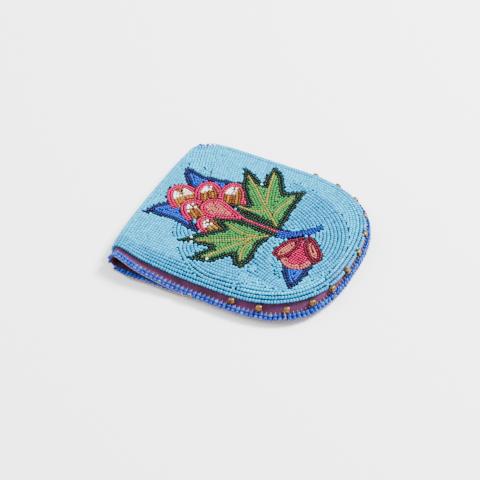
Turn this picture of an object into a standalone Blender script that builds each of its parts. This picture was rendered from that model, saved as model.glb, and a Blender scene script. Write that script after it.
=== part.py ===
"""Beaded belt pouch: one strip of cloth folded over at the top, so that it makes the back and the flap.

A pocket front is sewn to the back. The flap carries a field of seed beads around a spray of leaves,
petals and a small blossom, a bare border with round brass beads, and an edging of bead pairs.
Lengths are metres. Every piece of the flap is drawn on the flat strip, u along it from the fold, v
across it and n off its outer face, and then goes through one function that folds and rolls the strip.
The pouch lies on its back with the flap up, its fold at -X and its rounded end at +X.
"""
import math

import bmesh
import bpy
from mathutils import Vector

MM = 0.001

# Cloth and fold
CLOTH = 1.0 * MM              # thickness of the folded cloth
FOLD_RADIUS = 3.9 * MM        # outer radius of the cloth at the fold
NEAR_FOLD = 49.5 * MM         # half the strip's width at the fold, on the near side
FAR_FOLD = 42.5 * MM          # and on the far side
FLAP_TIP = 111.5 * MM         # u of the flap's tip
FLAP_HALF = 51 * MM           # half the flap's width at its widest
FLAP_END = 51.5 * MM          # length of the flap's rounded end
NEAR_SPREAD = 40 * MM         # how far from the fold the near side widens
FAR_SPREAD = 18 * MM          # and the far side
BACK_SHORTER = 8 * MM         # how far the back ends inside the flap's tip
NEAR_INSIDE = 4.3 * MM        # and how far its near side lies inside the flap's
FAR_INSIDE = 8.4 * MM         # and its far side
BACK_SPREAD = 20 * MM         # how far from the fold the back narrows to it
BACK_END = 44 * MM
NEAR_SHAPE = 2.9              # exponents of the rounded ends' two halves: 2 is an ellipse
FAR_SHAPE = 2.55

# Form of the flap over the pocket
CROWN = 8.4 * MM              # height of the flap's cloth at its middle
EDGE_HEIGHT = 2.6 * MM        # height of the flap's cloth at its edge
NEAR_SETTLE = 42 * MM         # how far from the fold the flap's near edge comes down
FAR_SETTLE = 16 * MM          # and its far edge
NEAR_ROLL = math.radians(30)  # slope that the near edge reaches
FAR_ROLL = math.radians(84)   # slope that the tip and the far edge reach
ROLL_FROM, ROLL_TO = -50 * MM, -26 * MM  # v between which the near side's values turn into the far side's

# Pocket
POCKET_CLOTH = 0.8 * MM
POCKET_CROWN = 6.5 * MM
POCKET_FALL = 4.0             # how late the pocket front falls towards its seam
POCKET_MOUTH = 13 * MM        # x of the mouth's edge
GAP = 0.3 * MM                # between pieces that rest on each other

# Belt slits in the back
SLIT_LENGTH = 44 * MM
SLIT_WIDTH = 1.6 * MM
SLIT_SPACING = 42 * MM
SLIT_CENTRE = 50 * MM

# Fields of seed beads
ROW = 1.75 * MM               # pitch of the rows of ground beads
BEAD_HEIGHT = 1.45 * MM       # how far the beads stand off the cloth
ROW_GROOVE = 0.45 * MM
SEAM = 0.22 * MM              # between neighbouring fields of beads
NEAR_BORDER = 5.7 * MM        # edging and bare cloth beside the ground
TIP_BORDER = 5.7 * MM         # and beyond it at the tip
FAR_BORDER = 7.5 * MM         # and along the far side
UNDER_FOLD = 2.1              # radians from the top of the fold to the last bead
MOTIF_ROW = 1.45 * MM         # pitch of the rows in the leaves and petals

# Edgings
EDGE_BEAD = 2.25 * MM         # pitch of the bead pairs
EDGE_BAND = 2.4 * MM          # how far the edging reaches in from the cloth's edge
EDGE_OVERHANG = 0.8 * MM
EDGE_NOTCH = 0.4 * MM
SEAM_BEADS = 2.2 * MM         # how far the pocket's edging stands out from the back
SEAM_HEIGHT = 2.1 * MM

# Brass beads
BRASS_RADIUS = 1.45 * MM
BRASS_HOLE = 0.45 * MM
BRASS_INSET = 4.05 * MM       # from the cloth's edge
BRASS_SPACING = 14 * MM
BRASS_START = 68 * MM         # u of the first one, on the near side
BRASS_COUNT = 12
BRASS_SIDES = 7

FIELD_LOW, FIELD_HIGH = GAP, GAP + BEAD_HEIGHT
X_FOLD = FIELD_HIGH + FOLD_RADIUS                 # centre of the fold's arc
U_BACK = X_FOLD - math.pi * FOLD_RADIUS           # where the fold meets the back
X_END = FLAP_TIP - FLAP_END                       # where the flap's rounded end begins
BACK_LENGTH = FLAP_TIP - BACK_SHORTER
BACK_NEAR, BACK_FAR = FLAP_HALF - NEAR_INSIDE, FLAP_HALF - FAR_INSIDE
FIELD_NEAR, FIELD_FAR = NEAR_BORDER - FLAP_HALF, FLAP_HALF - FAR_BORDER   # v of the ground's edges
TOP = 2 * FOLD_RADIUS

# Facets of the curved cloth, in millimetres: lines across the strip, measured from the fold's beads and in
# from the tip, and lines along it, measured in from the near edge and from the far edge
FROM_FOLD, FROM_TIP = [9, 14, 20, 30, 38, 43.5, 48, 57], [42, 32, 25, 21, 18, 15, 12.5, 10, 8, 6, 4, 2]
FROM_NEAR = [3.7, 8.2, 13.2, 20.2, 28.2, 39.2, 50.2]
FROM_FAR = [1.2, 2.7, 4.2, 5.7, 7.7, 10.2, 13.2, 17.2, 22.2, 29.2, 39.2]
FLAP_LINES = (FROM_FOLD + [FLAP_TIP / MM - m for m in FROM_TIP],
              [m - FLAP_HALF / MM for m in FROM_NEAR] + [FLAP_HALF / MM - m for m in FROM_FAR])
SPRAY_LINES = (FROM_FOLD[1:6], FLAP_LINES[1][3:5] + FLAP_LINES[1][12:13])
POCKET_LINES = ([30] + [BACK_LENGTH / MM - m for m in (44, 30, 20, 12, 6)],
                [m - BACK_NEAR / MM for m in (4.3, 10.3, 20.3, 32.3)]
                + [BACK_FAR / MM - m for m in (4.3, 10.3, 20.3, 32.3)])
NO_LINES = ([], [])           # for a piece whose own rows follow the curve
GROUND_STATIONS = [14, 30, 46]
GROUND_END_STEPS = 14
GROUND_FOLD_STEPS = 4
FOLD_STEPS = 10
CUTTER_REACH = 10 * MM

# Outlines of the spray on the flat strip, in millimetres, for a flap this long from the fold and half as wide
DRAWN_ON = (111.5, 51)
UPPER_LEAF = [(68.5, 1.5), (57, 2.7), (37.8, 6.8), (47.8, 10), (39.5, 20), (34, 34.5), (39.5, 32),
              (47.5, 27), (46.5, 34.5), (47.5, 41.5), (54, 36.5), (60, 26), (64, 29), (69, 32),
              (68.5, 17.5), (69.5, 2)]
UPPER_VEINS = [((64.3, 6.3), (55.6, 13.2), (42.3, 26)), ((56, 13), (52.2, 25), (50.4, 33)),
               ((61.5, 8.5), (61.8, 14), (64.2, 23.5)), ((58.5, 10.5), (55, 8.5), (52, 7.6))]
LOWER_LEAF = [(69.5, -2), (57, -1), (46.5, -1.5), (36.5, -5.5), (44.7, -10), (35.5, -18.8), (29.5, -26.5),
              (39, -25), (45.5, -24), (41.5, -30), (39.5, -35.5), (49.5, -33.3), (57, -24), (60, -29),
              (64.5, -30), (66, -23), (65.5, -13), (67, -6.5)]
LOWER_VEINS = [((63, -6.8), (51, -15.3), (39.6, -21.2)), ((59.5, -9.8), (54.7, -19.3), (47, -29.2)),
               ((62, -7.5), (55, -8), (47, -6.2)), ((60.3, -9.5), (59, -17), (61.4, -23.6))]
UPPER_BLUE = [(8.4, 22.4), (9.6, 17), (17.4, 8), (34, 13), (38, 22.8), (29, 20.9), (19.4, 19.1)]
LOWER_BLUE = [(5.2, -17.1), (8.4, -9.3), (13.6, -4.4), (22, -4), (36.5, -18.8), (21.4, -15.6), (11.8, -15.6)]
STEM = [(68.5, 1.4), (72.8, 2.2), (77.6, 3.8), (82.3, 8.8), (86, 13.2), (87.4, 11.2), (84, 6), (78, 0.6),
        (74, -2.6), (70, -4.6)]
LEFT_PETAL = [(81.3, 1), (75.7, -4.1), (72.3, -11.2), (72.9, -15), (77.5, -17), (80.7, -12.9), (82.5, -6.3)]
RIGHT_PETAL = [(82.2, 2.6), (88.2, 0.9), (94.3, -4.6), (95.4, -10.2), (92.3, -12.4), (88, -9.3), (83.4, -3.4)]
BLOSSOM_MIDDLE = [(82.4, -3), (80.5, -16), (84.5, -16.4), (87.8, -15), (90.5, -11)]
BLOSSOM_LIP = [(77, -15), (80, -18.6), (84.4, -20), (89.3, -18.2), (92.2, -14), (91.5, -10), (84, -10)]
BLOSSOM_TIP = [(78.5, -15), (82, -22.5), (85.5, -27.5), (90.3, -31.7), (92.5, -25), (93.4, -12)]
TEARDROP_HEAD, TEARDROP_RADIUS, TEARDROP_POINT, TEARDROP_STEM = (34.3, 0.8), 6.9, (52, 0.5), (69, -0.4)
# Scale-like petals, from the lowest: middle of the base, apex, half width
PETALS = {
    "petal_1": ((18.6, 0.4), (10.2, 7.7), 8.0),
    "petal_2": ((27.5, 8), (23, 16.8), 7.0),
    "petal_4": ((27, -5), (19.9, 0.1), 6.8),
    "petal_3": ((38.5, 12.2), (35.2, 21.8), 7.2),
    "petal_5": ((38.6, -11), (31.4, -7.6), 6.2),
}

COLOURS = {
    "purple_wool": ((0.16, 0.05, 0.13), 0.95, 0.0),
    "sky_beads": ((0.20, 0.62, 0.84), 0.25, 0.0),
    "edge_blue_beads": ((0.10, 0.27, 0.80), 0.25, 0.0),
    "dark_green_beads": ((0.01, 0.06, 0.04), 0.25, 0.0),
    "leaf_green_beads": ((0.10, 0.42, 0.19), 0.3, 0.0),
    "straw_beads": ((0.62, 0.50, 0.16), 0.3, 0.0),
    "navy_beads": ((0.01, 0.02, 0.16), 0.25, 0.0),
    "royal_beads": ((0.02, 0.16, 0.70), 0.25, 0.0),
    "pink_beads": ((0.70, 0.03, 0.16), 0.3, 0.0),
    "rose_beads": ((0.40, 0.03, 0.08), 0.3, 0.0),
    "salmon_beads": ((0.72, 0.28, 0.28), 0.3, 0.0),
    "white_beads": ((0.85, 0.84, 0.80), 0.3, 0.0),
    "amber_beads": ((0.45, 0.20, 0.04), 0.3, 0.0),
    "brass": ((0.45, 0.30, 0.12), 0.4, 1.0),
}


def smooth(t):
    """Eases from 0 to 1."""
    t = min(max(t, 0.0), 1.0)
    return t * t * (3 - 2 * t)


def strip_half(u, v):
    """Half the strip's width at u, on the side that v is on."""
    fold, spread, back = (FAR_FOLD, FAR_SPREAD, BACK_FAR) if v > 0 else (NEAR_FOLD, NEAR_SPREAD, BACK_NEAR)
    if u > X_FOLD:
        return FLAP_HALF - (FLAP_HALF - fold) * max(0.0, 1 - (u - X_FOLD) / spread) ** 2
    return fold + (back - fold) * smooth((U_BACK - u) / BACK_SPREAD)


def end_reach(along, across):
    """How far out a place lies in a rounded end: 1 on its edge. Both are shares, across below 0 near."""
    shape = FAR_SHAPE if across > 0 else NEAR_SHAPE
    return (along ** shape + abs(across) ** shape) ** (1 / shape)


def outer_face(u, v):
    """A point of the strip's outer face. u is x on the flap, and runs on round the fold and the back."""
    if u <= U_BACK:
        return Vector((X_FOLD + U_BACK - u, v, 0))
    if u < X_FOLD:
        turn = (X_FOLD - u) / FOLD_RADIUS
        return Vector((X_FOLD - FOLD_RADIUS * math.sin(turn), v, FOLD_RADIUS * (1 + math.cos(turn))))
    far = smooth((v - ROLL_FROM) / (ROLL_TO - ROLL_FROM))
    settled = smooth((u - X_FOLD) / (NEAR_SETTLE + (FAR_SETTLE - NEAR_SETTLE) * far))
    crown = TOP + (CROWN - TOP) * settled
    drop = (CROWN - EDGE_HEIGHT) * settled
    half = strip_half(min(u, X_END), v)
    out = end_reach(max(0.0, u - X_END) / FLAP_END, v / half)
    roll = (NEAR_ROLL + (FAR_ROLL - NEAR_ROLL) * far) * settled
    if roll < 0.01:
        return Vector((u, v, crown))
    radius = drop / (1 - math.cos(roll))
    inside = half * out - (half - radius * roll)
    if inside <= 0:
        return Vector((u, v, crown))
    turn = inside / radius
    share = (half - radius * roll + radius * math.sin(turn)) / (half * out)
    x = u if u < X_END else X_END + (u - X_END) * share
    return Vector((x, v * share, crown - radius * (1 - math.cos(turn))))


def folded(point):
    """Takes a point of the flat strip to the folded pouch."""
    u, v, n = point
    step = 0.1 * MM
    along = outer_face(u + step, v) - outer_face(u - step, v)
    across = outer_face(u, v + step) - outer_face(u, v - step)
    return outer_face(u, v) + along.cross(across).normalized() * n


def mesh_object(name, bm):
    mesh = bpy.data.meshes.new(name)
    bm.to_mesh(mesh)
    bm.free()
    return bpy.data.objects.new(name, mesh)


def evaluated_mesh(obj):
    """A plain mesh of an object with its modifiers applied."""
    bpy.context.view_layer.update()
    graph = bpy.context.evaluated_depsgraph_get()
    return bpy.data.meshes.new_from_object(obj.evaluated_get(graph))


def lean(outline):
    """Drops the points that lie on a straight line between their neighbours."""
    kept = []
    for i, (x, y) in enumerate(outline):
        (ax, ay), (bx, by) = outline[i - 1], outline[(i + 1) % len(outline)]
        off_line = abs((x - ax) * (by - ay) - (y - ay) * (bx - ax)) / math.dist((ax, ay), (bx, by))
        if off_line > 0.001 * MM:
            kept.append((x, y))
    return kept


def plate(name, outline, low, high):
    """A flat plate between two levels, from a filled 2D curve, with its caps welded."""
    outline = lean(outline)
    curve = bpy.data.curves.new(name, "CURVE")
    curve.dimensions = "2D"
    curve.fill_mode = "BOTH"
    curve.extrude = (high - low) / 2
    spline = curve.splines.new("POLY")
    spline.points.add(len(outline) - 1)
    spline.use_cyclic_u = True
    for knot, (x, y) in zip(spline.points, outline):
        knot.co = (x, y, 0, 1)
    drawn = bpy.data.objects.new(name + "_outline", curve)
    helpers.objects.link(drawn)
    mesh = evaluated_mesh(drawn)
    bpy.data.objects.remove(drawn)
    bm = bmesh.new()
    bm.from_mesh(mesh)
    bmesh.ops.remove_doubles(bm, verts=bm.verts, dist=0.001 * MM)
    flat = [e for e in bm.edges if e.calc_face_angle(0) < 0.01]
    bmesh.ops.dissolve_edges(bm, edges=flat, use_verts=False)
    bmesh.ops.translate(bm, verts=bm.verts, vec=(0, 0, (low + high) / 2))
    bmesh.ops.recalc_face_normals(bm, faces=bm.faces)
    return mesh_object(name, bm)


def cutter(name, outline):
    """A plate that reaches through a field of beads and the cloth under it."""
    made = plate(name, outline, -CUTTER_REACH, CUTTER_REACH)
    made.hide_render = True
    made.display_type = "WIRE"
    helpers.objects.link(made)
    return made


def combined(obj, others, operation):
    """Applies a Boolean with each of the other objects, and leaves a plain mesh."""
    helpers.objects.link(obj)
    for number, other in enumerate(others):
        boolean = obj.modifiers.new(f"{operation}_{number}", "BOOLEAN")
        boolean.operation = operation
        boolean.solver = "EXACT"
        boolean.object = other
    mesh = evaluated_mesh(obj)
    obj.modifiers.clear()
    helpers.objects.unlink(obj)
    obj.data = mesh
    return obj


def largest_body(obj):
    """Keeps the largest body of a piece, where a neighbour that lies over it cuts it up."""
    bm = bmesh.new()
    bm.from_mesh(obj.data)
    bmesh.ops.remove_doubles(bm, verts=bm.verts, dist=0.01 * MM)
    bodies, left = [], set(bm.verts)
    while left:
        body, fresh = set(), {left.pop()}
        while fresh:
            body |= fresh
            fresh = {e.other_vert(v) for v in fresh for e in v.link_edges} - body
        left -= body
        bodies.append(body)

    def volume(body):
        faces = {f for v in body for f in v.link_faces}
        return abs(sum(f.calc_area() * f.normal.dot(f.calc_center_median()) for f in faces))

    bodies.sort(key=volume)
    spare = [v for body in bodies[:-1] for v in body]
    bmesh.ops.delete(bm, geom=spare, context="VERTS")
    bm.to_mesh(obj.data)
    bm.free()
    return obj


def cut_along(bm, axis, place, beyond=None):
    """Cuts faces along a line of the flat strip, only beyond a given u where one is given."""
    faces = [f for f in bm.faces if beyond is None or f.calc_center_median().x > beyond]
    geom = [*{v for f in faces for v in f.verts}, *{e for f in faces for e in f.edges}, *faces]
    at, way = [0, 0, 0], [0, 0, 0]
    at[axis], way[axis] = place, 1
    bmesh.ops.bisect_plane(bm, geom=geom, dist=0.001 * MM, plane_co=at, plane_no=way)


def fold_lines():
    """Lines across the strip that bend with the fold."""
    return [X_FOLD - math.pi * FOLD_RADIUS * i / FOLD_STEPS for i in range(FOLD_STEPS + 1)]


def fold_piece(obj, slot, lines=SPRAY_LINES):
    """Cuts a flat piece along the strip's facets, folds it, and makes it one of the pouch's parts."""
    bm = bmesh.new()
    bm.from_mesh(obj.data)
    for u in [m * MM for m in lines[0]]:
        cut_along(bm, 0, u)
    if lines is FLAP_LINES:
        for u in fold_lines():
            cut_along(bm, 0, u)
    for v in [m * MM for m in lines[1]]:
        cut_along(bm, 1, v, X_FOLD)
    bmesh.ops.triangulate(bm, faces=bm.faces[:])
    for vert in bm.verts:
        vert.co = folded(vert.co)
    bm.to_mesh(obj.data)
    bm.free()
    return add_part(obj, slot)


def add_part(obj, slot):
    obj.data.materials.clear()
    obj.data.materials.append(materials[slot])
    parts.objects.link(obj)
    return obj


def rounded_end(start, length, near, far, count):
    """Points of a rounded end from its near side, at v = near, round to its far side."""
    centre, half = (near + far) / 2, (far - near) / 2
    points = []
    for i in range(count + 1):
        turn = -math.pi / 2 + math.pi * i / count
        power = 2 / (FAR_SHAPE if turn > 0 else NEAR_SHAPE)
        across = math.copysign(abs(math.sin(turn)) ** power, turn)
        points.append((start + length * max(0.0, math.cos(turn)) ** power, centre + half * across))
    return points


def strip_side(low, high, count):
    """Places along the strip with the half width of each side."""
    places = [low + (high - low) * i / count for i in range(count + 1)]
    near = [(u, -strip_half(u, -1)) for u in places]
    far = [(u, strip_half(u, 1)) for u in reversed(places)]
    return near, far


def flap_edge(start, count=22):
    """The flap's edge from a place near the fold, round its end and back."""
    near, far = strip_side(start, X_END, 14)
    return near[:-1] + rounded_end(X_END, FLAP_END, -FLAP_HALF, FLAP_HALF, count) + far[1:]


def back_edge(start, count=20):
    """The back's edge in plan, from its near side round its end to its far side."""
    x_end = BACK_LENGTH - BACK_END
    near, far = strip_side(X_FOLD + U_BACK - start, X_FOLD + U_BACK - x_end, 8)
    near = [(X_FOLD + U_BACK - u, v) for u, v in near]
    far = [(X_FOLD + U_BACK - u, v) for u, v in far]
    return near[:-1] + rounded_end(x_end, BACK_END, -BACK_NEAR, BACK_FAR, count) + far[1:]


def offset(outline, distance):
    """An outline moved outward, or inward where the distance is negative, without the sides that vanish."""
    sides = list(zip(outline, outline[1:] + outline[:1]))
    area = sum(a[0] * b[1] - b[0] * a[1] for a, b in sides)
    sign = 1 if area > 0 else -1
    while True:
        lines = []
        for a, b in sides:
            dx, dy = b[0] - a[0], b[1] - a[1]
            long = math.hypot(dx, dy)
            lines.append((a[0] + sign * dy / long * distance, a[1] - sign * dx / long * distance,
                          dx / long, dy / long))
        corners = []
        for (px, py, dx, dy), (qx, qy, ex, ey) in zip(lines[-1:] + lines[:-1], lines):
            cross = dx * ey - dy * ex
            if abs(cross) < 0.02:
                corners.append((qx, qy))
                continue
            t = ((qx - px) * ey - (qy - py) * ex) / cross
            corners.append((px + dx * t, py + dy * t))
        kept = []
        for i, side in enumerate(sides):
            here, there = corners[i], corners[(i + 1) % len(corners)]
            if (there[0] - here[0]) * lines[i][2] + (there[1] - here[1]) * lines[i][3] > 0:
                kept.append(side)
        if len(kept) == len(sides) or len(kept) < 3:
            return corners
        sides = kept


def in_metres(outline):
    """Takes the drawn spray to the flap, so that it keeps its place on a flap of another size."""
    along, across = FLAP_TIP / DRAWN_ON[0], FLAP_HALF / DRAWN_ON[1]
    return [(x * along, y * across) for x, y in outline]


def arch(base, apex, half, count=8):
    """The outline of a scale-like petal: half an ellipse, run on behind its base."""
    ax, ay = apex[0] - base[0], apex[1] - base[1]
    long = math.hypot(ax, ay)
    sx, sy = -ay / long * half, ax / long * half
    points = []
    for i in range(count + 1):
        turn = math.pi * i / count - math.pi / 2
        points.append((base[0] + ax * math.cos(turn) + sx * math.sin(turn),
                       base[1] + ay * math.cos(turn) + sy * math.sin(turn)))
    return points


def shorter(base, apex, by):
    """The apex moved towards the base."""
    long = math.dist(base, apex)
    share = 1 - by / long
    return (base[0] + (apex[0] - base[0]) * share, base[1] + (apex[1] - base[1]) * share)


def teardrop_head(inset):
    """The round head of the teardrop petal, up to where it runs straight to its point."""
    cx, cy = TEARDROP_HEAD
    radius = TEARDROP_RADIUS - inset
    open_half = math.acos(TEARDROP_RADIUS / math.dist(TEARDROP_HEAD, TEARDROP_POINT))
    head = []
    for i in range(9):
        turn = open_half + 2 * (math.pi - open_half) * i / 8
        head.append((cx + radius * math.cos(turn), cy + radius * math.sin(turn)))
    return head


def teardrop():
    """The whole petal: its head runs to a point, and on as one row of beads to the stem."""
    row = MOTIF_ROW / MM / 2
    (px, py), (sx, sy) = TEARDROP_POINT, TEARDROP_STEM
    return teardrop_head(0) + [(px, py - row), (sx, sy - row), (sx, sy + row), (px, py + row)]


def teardrop_inside(rim):
    """The petal's salmon field, inside its rim."""
    (cx, cy), (px, py) = TEARDROP_HEAD, TEARDROP_POINT
    share = 1 - rim / TEARDROP_RADIUS
    return teardrop_head(rim) + [(cx + (px - cx) * share, cy + (py - cy) * share)]


def motifs():
    """The elements of the spray from the lowest to the highest: outline, and fields from the rim inward."""
    rim = 2 * MOTIF_ROW / MM
    found = [
        ("upper_blue_leaf", UPPER_BLUE, rim, "navy_beads", "royal_beads"),
        ("lower_blue_leaf", LOWER_BLUE, rim, "navy_beads", "royal_beads"),
    ]
    for name, (base, apex, half) in PETALS.items():
        found.append((name, arch(base, apex, half), rim, "pink_beads", None))
    found += [
        ("teardrop_petal", teardrop(), rim, "pink_beads", "salmon_beads"),
        ("upper_leaf", UPPER_LEAF, rim, "dark_green_beads", "leaf_green_beads"),
        ("lower_leaf", LOWER_LEAF, rim, "dark_green_beads", "leaf_green_beads"),
        ("stem", STEM, 0, "royal_beads", None),
        ("blossom_tip", BLOSSOM_TIP, rim, "navy_beads", "royal_beads"),
        ("blossom_lip", BLOSSOM_LIP, 0, "salmon_beads", None),
        ("blossom_middle", BLOSSOM_MIDDLE, 0, "pink_beads", None),
        ("blossom_left_petal", LEFT_PETAL, rim * 0.8, "rose_beads", "salmon_beads"),
        ("blossom_right_petal", RIGHT_PETAL, rim * 0.8, "rose_beads", "salmon_beads"),
    ]
    return found


def vein_strips(veins):
    """The outlines of strips one row wide along a leaf's veins."""
    half = MOTIF_ROW / 2
    made = []
    for number, points in enumerate(veins):
        points = in_metres(points)
        left, right = [], []
        for i, point in enumerate(points):
            a, b = points[max(0, i - 1)], points[min(len(points) - 1, i + 1)]
            long = math.dist(a, b)
            nx, ny = -(b[1] - a[1]) / long * half, (b[0] - a[0]) / long * half
            left.append((point[0] + nx, point[1] + ny))
            right.append((point[0] - nx, point[1] - ny))
        made.append(left + right[::-1])
    return made


def make_leaf(name, outline, above, veins, rim_slot, field_slot):
    """A leaf with a rim, a field and a tree of veins that lies in the field."""
    rim = in_metres(offset(outline, -2 * MOTIF_ROW / MM))
    border = plate(f"{name}_rim", in_metres(outline), FIELD_LOW, FIELD_HIGH)
    hole = cutter(f"{name}_hole", offset(rim, SEAM / 2))
    fold_piece(largest_body(combined(border, [hole, *above], "DIFFERENCE")), rim_slot)
    field = plate(f"{name}_field", offset(rim, -SEAM / 2), FIELD_LOW, FIELD_HIGH)
    strips = vein_strips(veins)
    wider = [cutter(f"{name}_vein_{i}", offset(strip, SEAM)) for i, strip in enumerate(strips)]
    fold_piece(largest_body(combined(field, [*wider, *above], "DIFFERENCE")), field_slot)
    trunk, *branches = (plate(f"{name}_veins", strip, FIELD_LOW, FIELD_HIGH) for strip in strips)
    for branch in branches:
        helpers.objects.link(branch)
        branch.hide_render = True
    fold_piece(largest_body(combined(trunk, branches, "UNION")), "straw_beads")


def make_petal(name, above):
    """A scale-like petal: two pink rows round a white crescent and an amber base."""
    base, apex, half = PETALS[name]
    rim = 2 * MOTIF_ROW / MM
    seam = SEAM / MM
    rest = math.dist(base, apex) - rim

    def ring(slot, name, out, inner):
        outer = arch(base, shorter(base, apex, out), half - out)
        body = plate(name, in_metres(outer), FIELD_LOW, FIELD_HIGH)
        cutters = list(above)
        if inner is not None:
            hole = arch(base, shorter(base, apex, inner), half - inner)
            cutters.append(cutter(name + "_hole", in_metres(offset(hole, seam))))
        fold_piece(largest_body(combined(body, cutters, "DIFFERENCE")), slot)

    ring("pink_beads", f"{name}_rim", 0, rim)
    ring("white_beads", f"{name}_white", rim, rim + rest * 0.4)
    ring("amber_beads", f"{name}_amber", rim + rest * 0.4, None)


def make_motif(name, outline, rim, rim_slot, field_slot, above):
    """A field of one colour, or a rim round a field."""
    outer = in_metres(outline)
    body = plate(f"{name}_rim" if field_slot else name, outer, FIELD_LOW, FIELD_HIGH)
    if not field_slot:
        fold_piece(largest_body(combined(body, above, "DIFFERENCE")), rim_slot)
        return
    inner = in_metres(teardrop_inside(rim)) if name == "teardrop_petal" else offset(outer, -rim * MM)
    hole = cutter(f"{name}_hole", offset(inner, SEAM / 2))
    fold_piece(largest_body(combined(body, [hole, *above], "DIFFERENCE")), rim_slot)
    field = plate(f"{name}_field", offset(inner, -SEAM / 2), FIELD_LOW, FIELD_HIGH)
    fold_piece(largest_body(combined(field, above, "DIFFERENCE")), field_slot)


def make_spray():
    """Every element of the spray, each cut back where a later one lies over it."""
    elements = motifs()
    outlines = [cutter(name + "_over", offset(in_metres(outline), SEAM)) for name, outline, *_ in elements]
    leaves = {"upper_leaf": UPPER_VEINS, "lower_leaf": LOWER_VEINS}
    for number, (name, outline, rim, rim_slot, field_slot) in enumerate(elements):
        above = outlines[number + 1:]
        if name in PETALS:
            make_petal(name, above)
        elif name in leaves:
            make_leaf(name, outline, above, leaves[name], rim_slot, field_slot)
        else:
            make_motif(name, outline, rim, rim_slot, field_slot, above)
    return outlines


def make_ground(outlines):
    """The sky-coloured ground: rows of beads that run along the flap and round its end, round the spray."""
    half = (FIELD_FAR - FIELD_NEAR) / 2
    length = FLAP_END - TIP_BORDER
    start = X_FOLD - UNDER_FOLD * FOLD_RADIUS
    stations = [start + (X_FOLD - start) * i / GROUND_FOLD_STEPS for i in range(GROUND_FOLD_STEPS + 1)]
    stations += [m * MM for m in GROUND_STATIONS]

    def row_line(inset, level):
        near, far = FIELD_NEAR + inset, FIELD_FAR - inset
        end = rounded_end(X_END, length * (1 - inset / half), near, far, GROUND_END_STEPS)
        return [(u, v, level) for u, v in
                [(u, near) for u in stations] + end + [(u, far) for u in reversed(stations)]]

    rows = int((half - ROW / 2) / ROW)
    top = [row_line(i * ROW / 2, FIELD_HIGH - (0 if i % 2 else ROW_GROOVE)) for i in range(2 * rows + 1)]
    under = [0, 1, 2.2, 3.6, 5.2, 7, 10, 15, 22, 30]
    bottom = [row_line(m * MM, FIELD_LOW) for m in under] + [row_line(rows * ROW, FIELD_LOW)]
    bm = bmesh.new()
    rings = [[bm.verts.new(p) for p in line] for line in top[::-1] + bottom]
    for a, b in zip(rings, rings[1:]):
        for i in range(len(a) - 1):
            bm.faces.new((a[i], b[i], b[i + 1], a[i + 1]))
    for line, flip in ((rings[0], 1), (rings[-1], -1)):
        middle = len(line) // 2
        for i in range(middle - 1):
            bm.faces.new((line[i], line[i + 1], line[-2 - i], line[-1 - i])[::flip])
        bm.faces.new((line[middle - 1], line[middle], line[middle + 1])[::flip])
    bm.faces.new([line[0] for line in rings] + [line[-1] for line in reversed(rings)])
    bmesh.ops.recalc_face_normals(bm, faces=bm.faces)
    ground = mesh_object("ground_beadwork", bm)
    inside_edging = cutter("inside_edging", offset(flap_edge(U_BACK), -EDGE_BAND - GAP - SEAM))
    ground = combined(ground, [inside_edging], "INTERSECT")
    fold_piece(largest_body(combined(ground, outlines, "DIFFERENCE")), "sky_beads", NO_LINES)


def make_cloth():
    """The one strip that makes flap, fold and back, with two slits in the back for a belt."""
    on_back = [(X_FOLD + U_BACK - x, v) for x, v in reversed(back_edge(X_FOLD))]
    strip = plate("outer_cloth", flap_edge(X_FOLD) + on_back, -CLOTH, 0)
    slits = []
    for side in (-1, 1):
        u = X_FOLD + U_BACK - SLIT_CENTRE - side * SLIT_SPACING / 2
        w, l = SLIT_WIDTH / 2, SLIT_LENGTH / 2
        slits.append(cutter(f"belt_slit_{side}", [(u - w, -l), (u + w, -l), (u + w, l), (u - w, l)]))
    fold_piece(combined(strip, slits, "DIFFERENCE"), "purple_wool", FLAP_LINES)


def pocket_height(x, y):
    """Height of the pocket front's outer face."""
    x_end = BACK_LENGTH - BACK_END
    near, far = (strip_half(X_FOLD + U_BACK - min(x, x_end), side) for side in (-1, 1))
    out = end_reach(max(0.0, x - x_end) / BACK_END, (2 * y - far + near) / (far + near))
    seam = CLOTH + GAP + POCKET_CLOTH
    return seam + (POCKET_CROWN - seam) * max(0.0, 1 - out ** POCKET_FALL)


def make_pocket_front():
    """The panel sewn to the back along its sides and end, open towards the fold."""
    panel = plate("pocket_front", back_edge(POCKET_MOUTH), -POCKET_CLOTH, 0)
    bm = bmesh.new()
    bm.from_mesh(panel.data)
    for axis in (0, 1):
        for place in POCKET_LINES[axis]:
            cut_along(bm, axis, place * MM)
    bmesh.ops.triangulate(bm, faces=bm.faces[:])
    for vert in bm.verts:
        vert.co.z += pocket_height(vert.co.x, vert.co.y)
    bm.to_mesh(panel.data)
    bm.free()
    add_part(panel, "purple_wool")


def walk(path, pitch):
    """Evenly spaced places along a path, each with its outward direction."""
    lengths = [math.dist(a, b) for a, b in zip(path, path[1:])]
    count = round(sum(lengths) / pitch)
    found, segment, before = [], 0, 0.0
    for i in range(count + 1):
        here = sum(lengths) * i / count
        while segment < len(lengths) - 1 and here > before + lengths[segment]:
            before += lengths[segment]
            segment += 1
        a, b = path[segment], path[segment + 1]
        t = (here - before) / lengths[segment]
        dx, dy = (b[0] - a[0]) / lengths[segment], (b[1] - a[1]) / lengths[segment]
        found.append(((a[0] + (b[0] - a[0]) * t, a[1] + (b[1] - a[1]) * t), (dy, -dx)))
    return found


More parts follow.
